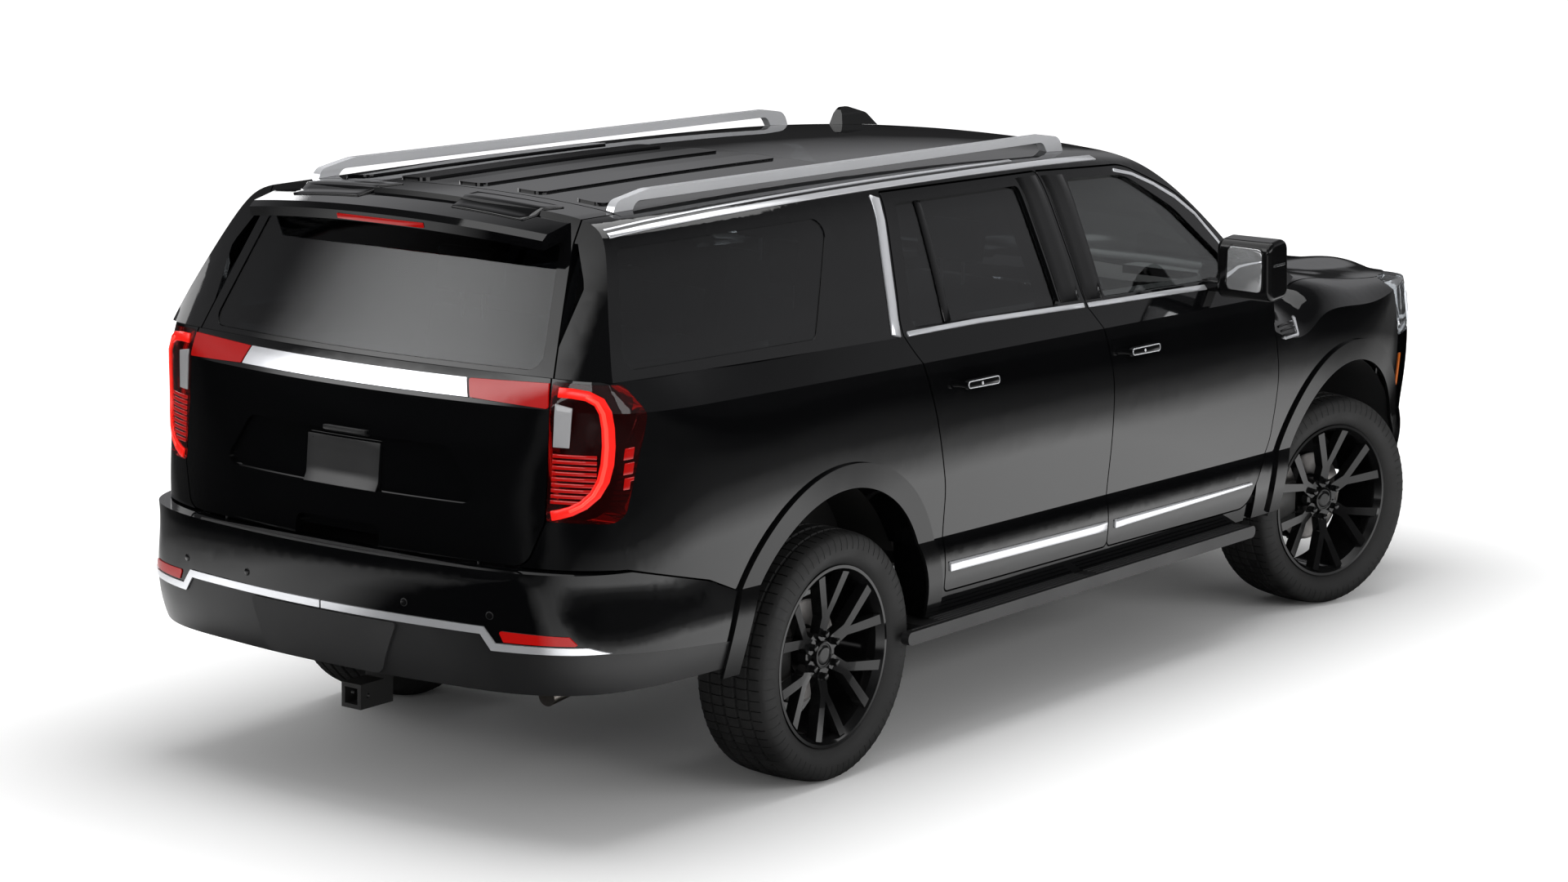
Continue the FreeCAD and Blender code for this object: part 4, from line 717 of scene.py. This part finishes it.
# %% Belt lines on the doors
for door, path in (
        ("rear", beside((0.045, 1.372), (0.35, 1.381), (0.7, 1.391), (0.95, 1.393), (1.118, 1.394))),
        ("front", beside((-1.03, 1.338), (-0.8, 1.348), (-0.5, 1.357), (-0.2, 1.364), (0.018, 1.370)))):
    trim = ribbon("belt_line_" + door, path, (0, 0, 0.016))
    fit_on(trim, ["door_%s_right" % door], "+X", 0.010, 0.002)
    both_sides("belt_line_" + door, trim, "door_%s_SIDE" % door, chrome)
print("belt lines")

# %% The wide upright trim behind the rear door, and the line down the front pillar
path = beside((1.183, 1.402), (1.166, 1.46), (1.147, 1.52), (1.128, 1.58), (1.108, 1.64),
              (1.087, 1.70), (1.066, 1.76), (1.043, 1.828))
trim = band("pillar_trim", path, 0.042, "YZ")
fit_on(trim, ["body_side_right"], "+X", 0.012, 0.003)
both_sides("pillar_trim", trim, "root", chrome)
path = beside((-0.45, 1.790), (-0.56, 1.768), (-0.68, 1.724), (-0.80, 1.668), (-0.90, 1.600),
              (-0.99, 1.500), (-1.06, 1.400))
trim = ribbon("front_pillar_line", path, (0, -0.006, 0.010))
fit_on(trim, ["door_front_right"], "+X", 0.008, 0.0015)
both_sides("front_pillar_line", trim, "door_front_SIDE", chrome)
print("pillar trims")

# %% [markdown]
# ## Lower door strips and handles
# The lower strips are narrow in front and widen towards the rear. The handles are bars with a
# bright rim round a dark insert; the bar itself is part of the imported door, so only the insert,
# the rim and the small bright lock button are added.

# %% Lower strips
for door, corners in (
        ("front", beside((-1.112, 0.580), (-0.048, 0.571), (-0.048, 0.604), (-1.105, 0.593))),
        ("rear", beside((-0.068, 0.571), (0.925, 0.590), (0.930, 0.624), (-0.068, 0.605)))):
    trim = grid("door_strip_" + door, corners, 14, 3)
    fit_on(trim, ["door_%s_right" % door], "+X", 0.014, 0.003)
    both_sides("door_strip_" + door, trim, "door_%s_SIDE" % door, chrome)
print("lower strips")


# %% Handle rims, inserts and buttons
def handle_parts(door, y, z):
    """Bright rim, dark insert and lock button of one door's handle."""
    panel, body = ["door_%s_right" % door], "door_%s_SIDE" % door
    half_long, tall = 0.094, 0.014
    loop = beside((y - half_long, z - tall), (y + half_long, z - tall + 0.004),
                  (y + half_long, z + tall + 0.001), (y - half_long, z + tall))
    rim = hollow(sheet("handle_rim", loop, 0.012, 4), 0.0035)
    fit_on(rim, panel, "+X", 0.004, 0.001)
    both_sides("handle_rim_" + door, rim, body, chrome)
    small = [(p[0], y + (p[1] - y) * 0.955, z + (p[2] - z) * 0.72) for p in loop]
    insert = sheet("handle_insert", small, 0.009, 4)
    fit_on(insert, panel, "+X", 0.0025, 0.0008)
    both_sides("handle_insert_" + door, insert, body, gloss_black)
    clear()
    bpy.ops.mesh.primitive_circle_add(vertices=20, radius=0.0055, fill_type="NGON",
                                      location=(OUTSIDE, y + 0.01, z), rotation=(0, math.pi / 2, 0))
    dot = bpy.context.active_object
    bake()
    fit_on(dot, panel, "+X", 0.0045, 0.0008)
    both_sides("handle_button_" + door, dot, body, satin_metal)


handle_parts("front", -0.209, 1.206)
handle_parts("rear", 0.834, 1.221)
print("handles")

# %% [markdown]
# ## Tail lamps
# A tail lamp is a smoked outer lens over a bright tube in the shape of a C. Inside the C sits a
# clear reversing lamp, and under it a red lens with fine level ribs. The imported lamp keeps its
# outer form, and these parts lie just on its surface: a band is drawn as two lines and bridged,
# so its faces are quads that bend well.

# %% The lit C and its brighter core
curve = [(-0.757, 1.388), (-0.80, 1.388), (-0.845, 1.383), (-0.876, 1.366), (-0.893, 1.335), (-0.899, 1.29),
         (-0.900, 1.235), (-0.897, 1.18), (-0.889, 1.13), (-0.872, 1.088), (-0.845, 1.057), (-0.812, 1.037),
         (-0.778, 1.025), (-0.757, 1.020)]
tube = band("tail_tube", behind(*curve), 0.030)
fit_on(tube, ["tail_lamps"], "-Y", 0.012, 0.003)
both_sides("tail_tube", tube, "root", red_glow)
core = band("tail_core", [(x + 0.004, BEHIND, z - 0.002) for x, z in curve[2:-2]], 0.010)
fit_on(core, ["tail_lamps"], "-Y", 0.017, 0.003)
core_glow = finish("lit_core", (0.8, 0.05, 0.04), (0.75, 0.04, 0.03), (0.2, 0.3),
                   glow=((1.0, 0.05, 0.03), 0.9))
both_sides("tail_core", core, "root", core_glow)
print("lit tubes")

# %% Reversing lamp, ribbed lens and side marker
corners = behind((-0.752, 1.225), (-0.800, 1.225), (-0.806, 1.345), (-0.752, 1.355))
patch = grid("reverse_lamp", corners, 8, 4)
fit_on(patch, ["tail_lamps"], "-Y", 0.008, 0.002)
lamp_white = finish("reverse_lens", (0.42, 0.42, 0.43), (0.3, 0.3, 0.31), (0.08, 0.15), grain=(0.1, 200.0))
both_sides("reverse_lamp", patch, "root", lamp_white)
for row in range(9):
    level = 1.062 + row * 0.0172
    end = -0.862 - 0.012 * min(row, 4) / 4
    rib = band("lens_rib", [(x, BEHIND, level) for x in (-0.752, -0.78, -0.81, -0.84, end)], 0.0115)
    fit_on(rib, ["tail_lamps"], "-Y", 0.006, 0.002)
    both_sides("lens_rib_%d" % row, rib, "root", red_lens)
for row in range(3):
    level = 1.105 + row * 0.045
    corners = beside((2.552, level), (2.578, level - 0.004), (2.574, level + 0.032), (2.548, level + 0.036))
    marker = grid("side_marker", corners, 3, 3)
    fit_on(marker, ["tail_lamps"], "+X", 0.006, 0.002)
    both_sides("side_marker_%d" % row, marker, "root", red_lens)
print("lamp insides")

# %% [markdown]
# ## The gate
# On the gate sit the high stop lamp under the spoiler, a bare plate holder with its lamp
# housing above, and two raised pads on top of the spoiler. Each parking sensor is a small disc
# on a thinner and wider one, which shows as a dark ring.

# %% High stop lamp and plate
path = behind((-0.176, 1.828), (-0.09, 1.828), (0, 1.828), (0.09, 1.828), (0.176, 1.828))
stop = band("high_stop_lamp", path, 0.016)
fit_on(stop, ["liftgate"], "-Y", 0.008, 0.002)
settle(stop, "liftgate", red_lens)
corners = behind((-0.148, 1.026), (0.148, 1.026), (0.148, 1.174), (-0.148, 1.174))
plate = grid("bare_plate", corners, 6, 6)
fit_on(plate, ["liftgate"], "-Y", 0.006, 0.0015)
plate_black = finish("plate_black", (0.011, 0.011, 0.0112), (0.015, 0.015, 0.0155), (0.35, 0.42),
                     grain=(0.08, 900.0))
settle(plate, "liftgate", plate_black)
corners = behind((-0.10, 1.188), (0.07, 1.188), (0.07, 1.209), (-0.10, 1.209))
housing = grid("plate_lamp_housing", corners, 5, 3)
fit_on(housing, ["liftgate"], "-Y", 0.022, 0.004)
settle(housing, "liftgate", satin_black)
print("stop lamp and plate")


# %% Round buttons: sensors, plate screws
def button(name, x, z, radius, names, body, material, thick):
    """A small round disc on a surface seen from behind."""
    clear()
    bpy.ops.mesh.primitive_circle_add(vertices=24, radius=radius, fill_type="NGON",
                                      location=(x, BEHIND, z), rotation=(math.pi / 2, 0, 0))
    disc = bpy.context.active_object
    disc.name = name
    bake()
    fit_on(disc, names, "-Y", thick, 0.0008)
    return settle(disc, body, material)


for number, (x, z) in enumerate(((-0.130, 1.038), (0.130, 1.038), (-0.130, 1.162), (0.130, 1.162))):
    button("plate_screw_%d" % number, x, z, 0.005, ["liftgate"], "liftgate",
           gloss_black, 0.012)
for number, (x, z) in enumerate(((-0.324, 0.722), (0.324, 0.722), (-0.625, 0.718), (0.625, 0.718))):
    button("sensor_ring_%d" % number, x, z, 0.0125, ["rear_bumper"], "root",
           grained, 0.002)
    button("sensor_%d" % number, x, z, 0.0105, ["rear_bumper"], "root",
           gloss_black, 0.005)
print("screws and sensors")

# %% Spoiler pads
for side in (-1, 1):
    corners = above((side * 0.15, 2.335), (side * 0.50, 2.335), (side * 0.47, 2.50), (side * 0.19, 2.505))
    pad = grid("spoiler_pad", corners, 10, 6)
    fit_on(pad, ["liftgate"], "-Z", 0.010, 0.004, 3)
    settle(pad, "liftgate", paint)
    pad.name = "spoiler_pad_%s" % ("left" if side > 0 else "right")
print("spoiler pads")

# %% Ribs on the step pad
FIRST_RIB, RIB_STEP = 2.846, 0.0052
for row in range(5):
    path = [(x, FIRST_RIB + row * RIB_STEP, ABOVE) for x in (-0.58, -0.3, 0, 0.3, 0.58)]
    rib = ribbon("step_rib", path, (0, 0.0024, 0))
    fit_on(rib, ["step_pad"], "-Z", 0.003, 0.0006)
    settle(rib, "root", grained)
    rib.name = "step_rib_%d" % row
print("step pad")

# %% [markdown]
# ## The lower edge at the rear
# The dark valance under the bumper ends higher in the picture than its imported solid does. A
# merged copy of the solid is cut level with a bisect, its open edge is filled, and the copy
# takes the solid's place.

# %% The valance, cut to its real depth
VALANCE_BOTTOM = 0.482
valance = surface("rear_valance")
valance.name = "rear_valance_trimmed"
edit_all()
bpy.ops.mesh.remove_doubles(threshold=0.00002)
bpy.ops.mesh.select_all(action="SELECT")
bpy.ops.mesh.bisect(plane_co=(0, 0, VALANCE_BOTTOM), plane_no=(0, 0, 1), clear_inner=True, use_fill=True)
leave_edit()
settle(valance, "root", satin_black)
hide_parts("rear_valance")
print("valance:", len(valance.data.polygons), "faces")

# %% [markdown]
# ## Tyres
# A tyre repeats one short pitch all the way round. So one pitch is modelled: its section is
# drawn as a line and spun through five degrees, a narrow slice of it becomes the cross groove,
# and an Array turned by an empty sets seventy-two of them in a ring. The same ring is then
# copied to the four corners, each with its own mesh.

# %% Section of the tyre
half_section = [
    (0.100, 0.292), (0.112, 0.300), (0.126, 0.312), (0.136, 0.330), (0.1405, 0.352), (0.1400, 0.368),
    (0.1370, 0.381), (0.1320, 0.3915), (0.1250, 0.3985), (0.1150, 0.4035), (0.0980, 0.4068),
    (0.0800, 0.4085), (0.0770, 0.4015), (0.0700, 0.4015), (0.0670, 0.4092), (0.0500, 0.4105),
    (0.0330, 0.4112), (0.0300, 0.4030), (0.0210, 0.4030), (0.0180, 0.4116), (0.0, 0.4118)]
section = [(-x, 0, r) for x, r in half_section] + [(x, 0, r) for x, r in reversed(half_section[:-1])]
PITCHES, SLICE_DEGREES = 72, 0.6
pitch = line("tyre_ring", section)
leave_edit()
choose(pitch)
bake()
edit_all()
bpy.ops.mesh.spin(steps=1, angle=math.radians(SLICE_DEGREES), center=(0, 0, 0), axis=(1, 0, 0))
bpy.ops.mesh.spin(steps=2, angle=math.radians(360 / PITCHES - SLICE_DEGREES), center=(0, 0, 0),
                  axis=(1, 0, 0))
bpy.ops.mesh.select_all(action="SELECT")
bpy.ops.mesh.normals_make_consistent(inside=False)
leave_edit()
print("one pitch:", len(pitch.data.polygons), "faces")


# %% Cross grooves and side ribs
def slice_faces(piece, low, high, widths):
    """Selects the narrow slice's faces between two radii, and says how many."""
    count = 0
    for polygon in piece.data.polygons:
        centre = polygon.center
        in_slice = abs(math.atan2(centre.y, centre.z)) < math.radians(SLICE_DEGREES)
        at_radius = low < math.hypot(centre.y, centre.z) < high
        polygon.select = in_slice and at_radius and widths[0] < abs(centre.x) < widths[1]
        count += polygon.select
    return count


outward = sum(p.normal.z for p in pitch.data.polygons if p.center.z > 0.40)
if outward < 0:
    choose(pitch)
    edit_all()
    bpy.ops.mesh.flip_normals()
    leave_edit()
for low, high, widths, depth in (
        (0.4020, 0.42, (0.0, 0.126), -0.005), (0.355, 0.395, (0.12, 0.2), 0.0012)):
    choose(pitch)
    bpy.ops.object.mode_set(mode="EDIT")
    bpy.ops.mesh.select_mode(type="FACE")
    bpy.ops.mesh.select_all(action="DESELECT")
    leave_edit()
    found = slice_faces(pitch, low, high, widths)
    bpy.ops.object.mode_set(mode="EDIT")
    bpy.ops.mesh.extrude_region_shrink_fatten(TRANSFORM_OT_shrink_fatten={"value": depth})
    leave_edit()
    print("moved", found, "faces by", depth)

# %% Seventy-two pitches make the ring
turner = bpy.data.objects.new("turner", None)
bpy.context.scene.collection.objects.link(turner)
top = max(pitch.data.vertices, key=lambda v: abs(v.co.y))
turner.rotation_euler.x = math.radians(360 / PITCHES) * (-1 if top.co.y > 0 else 1)
bpy.context.view_layer.update()
apply(pitch, "ARRAY", count=PITCHES, use_relative_offset=False, use_object_offset=True,
      offset_object=turner, use_merge_vertices=True, use_merge_vertices_cap=True,
      merge_threshold=0.0002)
bpy.data.objects.remove(turner)
print("tyre ring:", len(pitch.data.polygons), "faces")

# %% [markdown]
# ## Four corners
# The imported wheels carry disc, barrel and spokes. Nuts, a bare centre cap and a bright brake
# disc are added to each. The front wheels stand turned by fifteen degrees in the picture, about
# kingpins 0.8 m from the middle, so their pieces get the same turn.

# %% Places of the wheels
KINGPIN, REACH, STEER, AXLE = 0.80, 0.07, math.radians(-15), 0.412
FRONT, REAR = -1.853, 1.553


def corner(which, side):
    """Matrix from a wheel built at the origin, outside towards +X, to one corner of the car."""
    mirror = Matrix.Scale(-1, 4, (1, 0, 0)) if side < 0 else Matrix.Identity(4)
    if which == "rear":
        return Matrix.Translation((side * (KINGPIN + REACH), REAR, AXLE)) @ mirror
    swing = Matrix.Translation((side * KINGPIN, FRONT, AXLE)) @ Matrix.Rotation(STEER, 4, "Z")
    return swing @ Matrix.Translation((side * REACH, 0, 0)) @ mirror


def to_corners(piece, name, material):
    """Copies a wheel piece to the four corners."""
    made = []
    for which in ("front", "rear"):
        for side, word in ((1, "left"), (-1, "right")):
            copy = piece.copy()
            copy.data = piece.data.copy()
            copy.name = "%s_%s_%s" % (name, which, word)
            bpy.context.scene.collection.objects.link(copy)
            copy.matrix_world = corner(which, side)
            settle(copy, "wheel_%s_%s" % (which, word), material)
            made.append(copy)
    bpy.data.objects.remove(piece)
    return made


for tyre in to_corners(pitch, "tread", rubber):
    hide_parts(tyre.name.replace("tread", "tyre"))
print("tyres on")


# %% Brake disc, cap and nuts
def turned_disc(name, profile, vertices=48):
    """A round piece about the X axis: its profile (x, radius) is drawn and spun."""
    piece = line(name, [(x, 0, r) for x, r in profile])
    leave_edit()
    choose(piece)
    bake()
    edit_all()
    bpy.ops.mesh.spin(steps=vertices, angle=math.tau, center=(0, 0, 0), axis=(1, 0, 0))
    bpy.ops.mesh.select_all(action="SELECT")
    bpy.ops.mesh.remove_doubles(threshold=0.00005)
    leave_edit()
    return piece


disc = turned_disc("brake_disc", [(-0.0075, 0.088), (-0.0060, 0.094), (-0.0060, 0.164), (-0.0045, 0.166),
                   (-0.0045, 0.169), (-0.0065, 0.1715), (-0.0075, 0.088)], 72)
to_corners(disc, "brake_disc", brake_iron)
cap = turned_disc("centre_cap", [(0.0735, 0.0), (0.0795, 0.0), (0.0805, 0.020), (0.0800, 0.030),
                  (0.0775, 0.0335), (0.0775, 0.0365), (0.0805, 0.0385), (0.0800, 0.0435),
                  (0.0735, 0.0455), (0.0735, 0.0)])
to_corners(cap, "centre_cap", gloss_black)
nuts = []
NUT_CIRCLE = 0.06985
for number in range(6):
    angle = math.radians(30 + 60 * number)
    place = (0.082, NUT_CIRCLE * math.cos(angle), NUT_CIRCLE * math.sin(angle))
    clear()
    bpy.ops.mesh.primitive_cylinder_add(vertices=6, radius=0.0125, depth=0.020, location=place,
                                        rotation=(0, math.pi / 2, 0))
    nut = bpy.context.active_object
    bake()
    apply(nut, "BEVEL", width=0.0018, segments=2, limit_method="ANGLE")
    nuts.append(nut)
choose(*nuts)
bpy.ops.object.join()
to_corners(bpy.context.view_layer.objects.active, "wheel_nuts", wheel_black)
print("wheels finished")

# %% [markdown]
# ## Mirrors, vents and markers
# The mirror housing is packed with the door. Its glass is a rounded sheet in a thin dark rim.
# The vent behind the front wheel is a bright frame round three short fins, and the amber marker
# stands in the edge of the front arch.

# %% Mirror glass
MIRROR_MIDDLE = 1.447
glass_corners = behind((-1.078, 1.362), (-1.232, 1.358), (-1.236, 1.532), (-1.085, 1.536))
rim = hollow(sheet("mirror_rim", glass_corners, 0.03, 5), 0.006)
fit_on(rim, ["mirror_right"], "-Y", 0.006, 0.0015)
both_sides("mirror_rim", rim, "door_front_SIDE", gloss_black)
inner = [(x * 0.995 - 0.005, y, MIRROR_MIDDLE + (z - MIRROR_MIDDLE) * 0.90) for x, y, z in glass_corners]
pane = sheet("mirror_pane", inner, 0.026, 5)
fit_on(pane, ["mirror_right"], "-Y", 0.004, 0.0008)
mirror_silver = finish("mirror_silver", (0.86, 0.87, 0.88), (0.82, 0.83, 0.85), (0.01, 0.02), metal=0.75)
both_sides("mirror_pane", pane, "door_front_SIDE", mirror_silver)
path = [(OUTSIDE, y, 1.468 - 0.02 * (y + 0.86)) for y in (-0.855, -0.82, -0.78, -0.745)]
lamp = band("mirror_lamp", path, 0.010, "YZ")
fit_on(lamp, ["mirror_right"], "+X", 0.005, 0.001)
both_sides("mirror_lamp", lamp, "door_front_SIDE", clear_lens)
print("mirrors")

# %% Vent behind the front wheel
corners = beside((-1.240, 1.184), (-1.455, 1.178), (-1.400, 1.112), (-1.280, 1.112))
vent = hollow(sheet("vent_frame", corners, 0.008, 2), 0.009)
fit_on(vent, ["fenders"], "+X", 0.012, 0.002)
both_sides("vent_frame", vent, "root", chrome)
for row in range(3):
    level = 1.128 + row * 0.016
    path = beside((-1.283 + 0.008 * row, level), (-1.34, level), (-1.400 - 0.010 * row, level))
    fin = band("vent_fin", path, 0.007, "YZ")
    fit_on(fin, ["fenders"], "+X", 0.008, 0.0015)
    both_sides("vent_fin_%d" % row, fin, "root", gloss_black)
corners = beside((-2.352, 0.795), (-2.372, 0.795), (-2.378, 0.925), (-2.358, 0.925))
marker = grid("amber_marker", corners, 3, 6)
fit_on(marker, ["front_bumper"], "+X", 0.008, 0.002)
both_sides("amber_marker", marker, "root", amber)
print("vents and markers")

# %% [markdown]
# ## Liners of the front arches
# A moulded liner closes the arch round the front wheel, so that no light shows past it. It is a
# strip of its section, an arc over the wheel with two straight legs, pulled inwards from a
# little behind the moulding's inner edge.

# %% Arch liners
LINER_RADIUS, ARCH_LEVEL, LEG_END, LINER_OUTER, LINER_WIDTH = 0.515, 0.460, 0.42, -0.96, 0.45
bow = [(LINER_OUTER, FRONT - LINER_RADIUS * math.cos(a), ARCH_LEVEL + LINER_RADIUS * math.sin(a))
       for a in map(math.radians, range(0, 181, 10))]
legs = [(LINER_OUTER, FRONT + side * LINER_RADIUS, LEG_END) for side in (-1, 1)]
liner = ribbon("arch_liner", [legs[0], *bow, legs[1]], (LINER_WIDTH, 0, 0))
thicken(liner, 0.004)
both_sides("arch_liner", liner, "root", grained)
print("arch liners")

# %% [markdown]
# ## The nose
# The nose is hidden in the picture, so it gets the quiet version of what such cars wear: bright
# edges on the grille bars, a light guide and three reflectors in each headlamp, and dark slats
# in the lower intake.

# %% Grille bars and lamp guides
for row in range(5):
    level = 0.784 + row * 0.076
    path = [(x, AHEAD, level) for x in (-0.54, -0.4, -0.2, 0, 0.2, 0.4, 0.54)]
    blade = ribbon("grille_blade", path, (0, 0, 0.014))
    fit_on(blade, ["grille"], "+Y", 0.010, 0.002)
    settle(blade, "root", chrome)
    blade.name = "grille_blade_%d" % row
path = before_nose((-0.66, 1.190), (-0.75, 1.190), (-0.84, 1.188), (-0.90, 1.178), (-0.915, 1.14),
                   (-0.915, 1.09), (-0.905, 1.04), (-0.86, 1.028), (-0.78, 1.026))
light_guide = finish("light_guide", (0.8, 0.82, 0.85), (0.75, 0.77, 0.8), (0.1, 0.2),
                     glow=((0.9, 0.95, 1.0), 0.5))
strip = band("lamp_guide", path, 0.014)
fit_on(strip, ["headlamps"], "+Y", 0.006, 0.0015)
both_sides("lamp_guide", strip, "root", light_guide)
for number, x in enumerate((-0.70, -0.78, -0.86)):
    corners = before_nose((x - 0.028, 1.060), (x + 0.028, 1.060), (x + 0.028, 1.150), (x - 0.028, 1.150))
    eye = grid("lamp_eye", corners, 4, 4)
    fit_on(eye, ["headlamps"], "+Y", 0.008, 0.003, 3)
    both_sides("lamp_eye_%d" % number, eye, "root", mirror_silver)
print("nose")

# %% Slats of the lower intake
for row in range(4):
    path = [(x, -2.80 + 0.16 * (x / 0.56) ** 2, 0.490 + row * 0.036)
            for x in (-0.55, -0.36, -0.18, 0, 0.18, 0.36, 0.55)]
    slat = ribbon("intake_slat", path, (0, 0.03, 0.006))
    thicken(slat, 0.006, 0.0015)
    settle(slat, "root", gloss_black)
    slat.name = "intake_slat_%d" % row
print("intake")

# %% [markdown]
# ## Running boards
# A foot needs grip, so the tops carry raised ribs along their length, with a plain gap in the
# middle where the two pads meet.

# %% Ribs on the running boards
for row in range(6):
    x = -0.945 - row * 0.018
    for part, (start, stop) in enumerate(((-1.02, 0.04), (0.10, 1.19))):
        path = [(x, start + (stop - start) * n / 6, ABOVE) for n in range(7)]
        rib = ribbon("board_rib", path, (-0.007, 0, 0))
        fit_on(rib, ["running_boards"], "-Z", 0.005, 0.0012)
        both_sides("board_rib_%d_%d" % (row, part), rib, "root", grained)
print("running boards")

# %% [markdown]
# ## Pillars between the windows
# Between the side windows the doors carry gloss black covers, so the row of windows looks like
# one dark band. The thin upright in the rear door divides its fixed pane.

# %% Pillar covers and the dividing bar
for door, corners in (
        ("front", beside((0.020, 1.395), (-0.092, 1.392), (-0.105, 1.808), (0.030, 1.815))),
        ("rear", beside((0.175, 1.402), (0.055, 1.399), (0.062, 1.818), (0.190, 1.820)))):
    cover = grid("pillar_cover_" + door, corners, 3, 8)
    fit_on(cover, ["door_%s_right" % door], "+X", 0.004, 0.001)
    both_sides("pillar_cover_" + door, cover, "door_%s_SIDE" % door, gloss_black)
corners = beside((0.878, 1.412), (0.838, 1.412), (0.793, 1.795), (0.829, 1.795))
bar = grid("window_divider", corners, 2, 8)
fit_on(bar, ["glass_rear_right"], "+X", 0.010, 0.002)
both_sides("window_divider", bar, "door_rear_SIDE", gloss_black)
print("pillars")

# %% [markdown]
# ## Seats
# Each seat is made of padded blocks: a cushion and a back with a sewn middle panel between two
# bolsters, and a headrest on two stems. A block is a cube cut into rows, the points on its
# seams are lowered, and a subdivision surface rounds everything. The leather covers are taut
# over firm foam, so no cloth simulation is needed.

# %% One padded block
SEAM_HALF, SEAM_DEPTH, CROWN_FROM = 0.012, 0.014, 0.36


def padded_block(name, size, seams, crown):
    """A cushion at the origin: seams run along Y at the given shares of its width."""
    clear()
    bpy.ops.mesh.primitive_cube_add(size=1.0)
    block = bpy.context.active_object
    block.name = name
    bpy.ops.transform.resize(value=size)
    bake()
    bpy.ops.object.mode_set(mode="EDIT")
    for share in seams:
        for offset in (-SEAM_HALF, 0.0, SEAM_HALF):
            bpy.ops.mesh.select_all(action="SELECT")
            bpy.ops.mesh.bisect(plane_co=(share * size[0] + offset, 0, 0), plane_no=(1, 0, 0))
    for share in (-0.36, -0.12, 0.12, 0.36):
        bpy.ops.mesh.select_all(action="SELECT")
        bpy.ops.mesh.bisect(plane_co=(0, share * size[1], 0), plane_no=(0, 1, 0))
    bpy.ops.mesh.select_all(action="DESELECT")
    leave_edit()
    for vertex in block.data.vertices:
        on_seam = any(abs(vertex.co.x - share * size[0]) < 0.004 for share in seams)
        if on_seam and abs(vertex.co.y) < size[1] * 0.45 and vertex.co.z > 0:
            vertex.co.z -= SEAM_DEPTH
        elif vertex.co.z > 0 and abs(vertex.co.x) > CROWN_FROM * size[0]:
            vertex.co.z += crown
    apply(block, "BEVEL", width=min(size) * 0.22, segments=3, limit_method="ANGLE", angle_limit=0.9)
    apply(block, "SUBSURF", levels=2, render_levels=2)
    return block


def laid(block, place, lean):
    """Turns a block about X and moves it to its place."""
    choose(block)
    block.matrix_world = Matrix.Translation(place) @ Matrix.Rotation(math.radians(lean), 4, "X")
    bake()
    return block


# %% Three rows of seats
def seat(name, x, y, base, wide, tall, back_tall):
    """Cushion, back and headrest of one seat, facing the front."""
    high = base + tall
    top = high + 0.02 + back_tall
    parts = [
        laid(padded_block("cushion", (wide - 0.02, 0.46, 0.12), (-0.27, 0.27), 0.010),
             (x, y, high - 0.025), 2.0),
        laid(padded_block("back", (wide - 0.03, back_tall - 0.06, 0.11), (-0.25, 0.25), 0.010),
             (x, y + 0.295, high + back_tall / 2 + 0.01), 102.0),
        laid(padded_block("headrest", (0.25, 0.15, 0.075), (), 0.0), (x, y + 0.378, top + 0.10), 97.0)]
    for part, word in zip(parts, ("cushion", "back", "headrest")):
        settle(part, "root", leather, 60.0)
        part.name = "%s_%s" % (name, word)
    return parts


# Each row: x, y, floor, width, height of the cushion over the floor, height of the back.
SEAT_ROWS = {"front": (0.40, -0.33, 0.64, 0.52, 0.30, 0.50), "middle": (0.40, 0.56, 0.64, 0.52, 0.30, 0.50),
             "rear": (0.28, 1.48, 0.79, 0.50, 0.22, 0.44)}
SIDES = ((-1, "right"), (1, "left"))
made = {row: [] for row in SEAT_ROWS}
for side, word in SIDES:
    for row, (x, *sizes) in SEAT_ROWS.items():
        made[row] += seat("%s_seat_%s" % (row, word), side * x, *sizes)
for row, parts in made.items():
    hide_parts("seats_" + row)
print("seats:", {row: len(parts) for row, parts in made.items()})

# %% Plinths and stems under the leather
def plain_box(name, low, high, edge, material):
    """A block between two corners with rounded edges."""
    clear()
    middle = [(a + b) / 2 for a, b in zip(low, high)]
    bpy.ops.mesh.primitive_cube_add(size=1.0, location=middle)
    block = bpy.context.active_object
    block.name = name
    bpy.ops.transform.resize(value=[b - a for a, b in zip(low, high)])
    bake()
    apply(block, "BEVEL", width=edge, segments=2, limit_method="ANGLE")
    return settle(block, "root", material)


for row, (aside, y, base, wide, tall, back_tall) in SEAT_ROWS.items():
    for side, word in SIDES:
        name, x, high = "%s_%s" % (row, word), side * aside, base + tall
        plain_box("plinth_" + name, (x - 0.19, y - 0.19, base + 0.001), (x + 0.19, y + 0.19, high - 0.07),
                  0.012, grained)
        for stem, shift in (("a", -0.045), ("b", 0.045)):
            plain_box("stem_%s_%s" % (name, stem),
                      (x + shift - 0.006, y + 0.362, high + back_tall - 0.04),
                      (x + shift + 0.006, y + 0.374, high + back_tall + 0.09),
                      0.004, satin_metal)
print("plinths and stems")
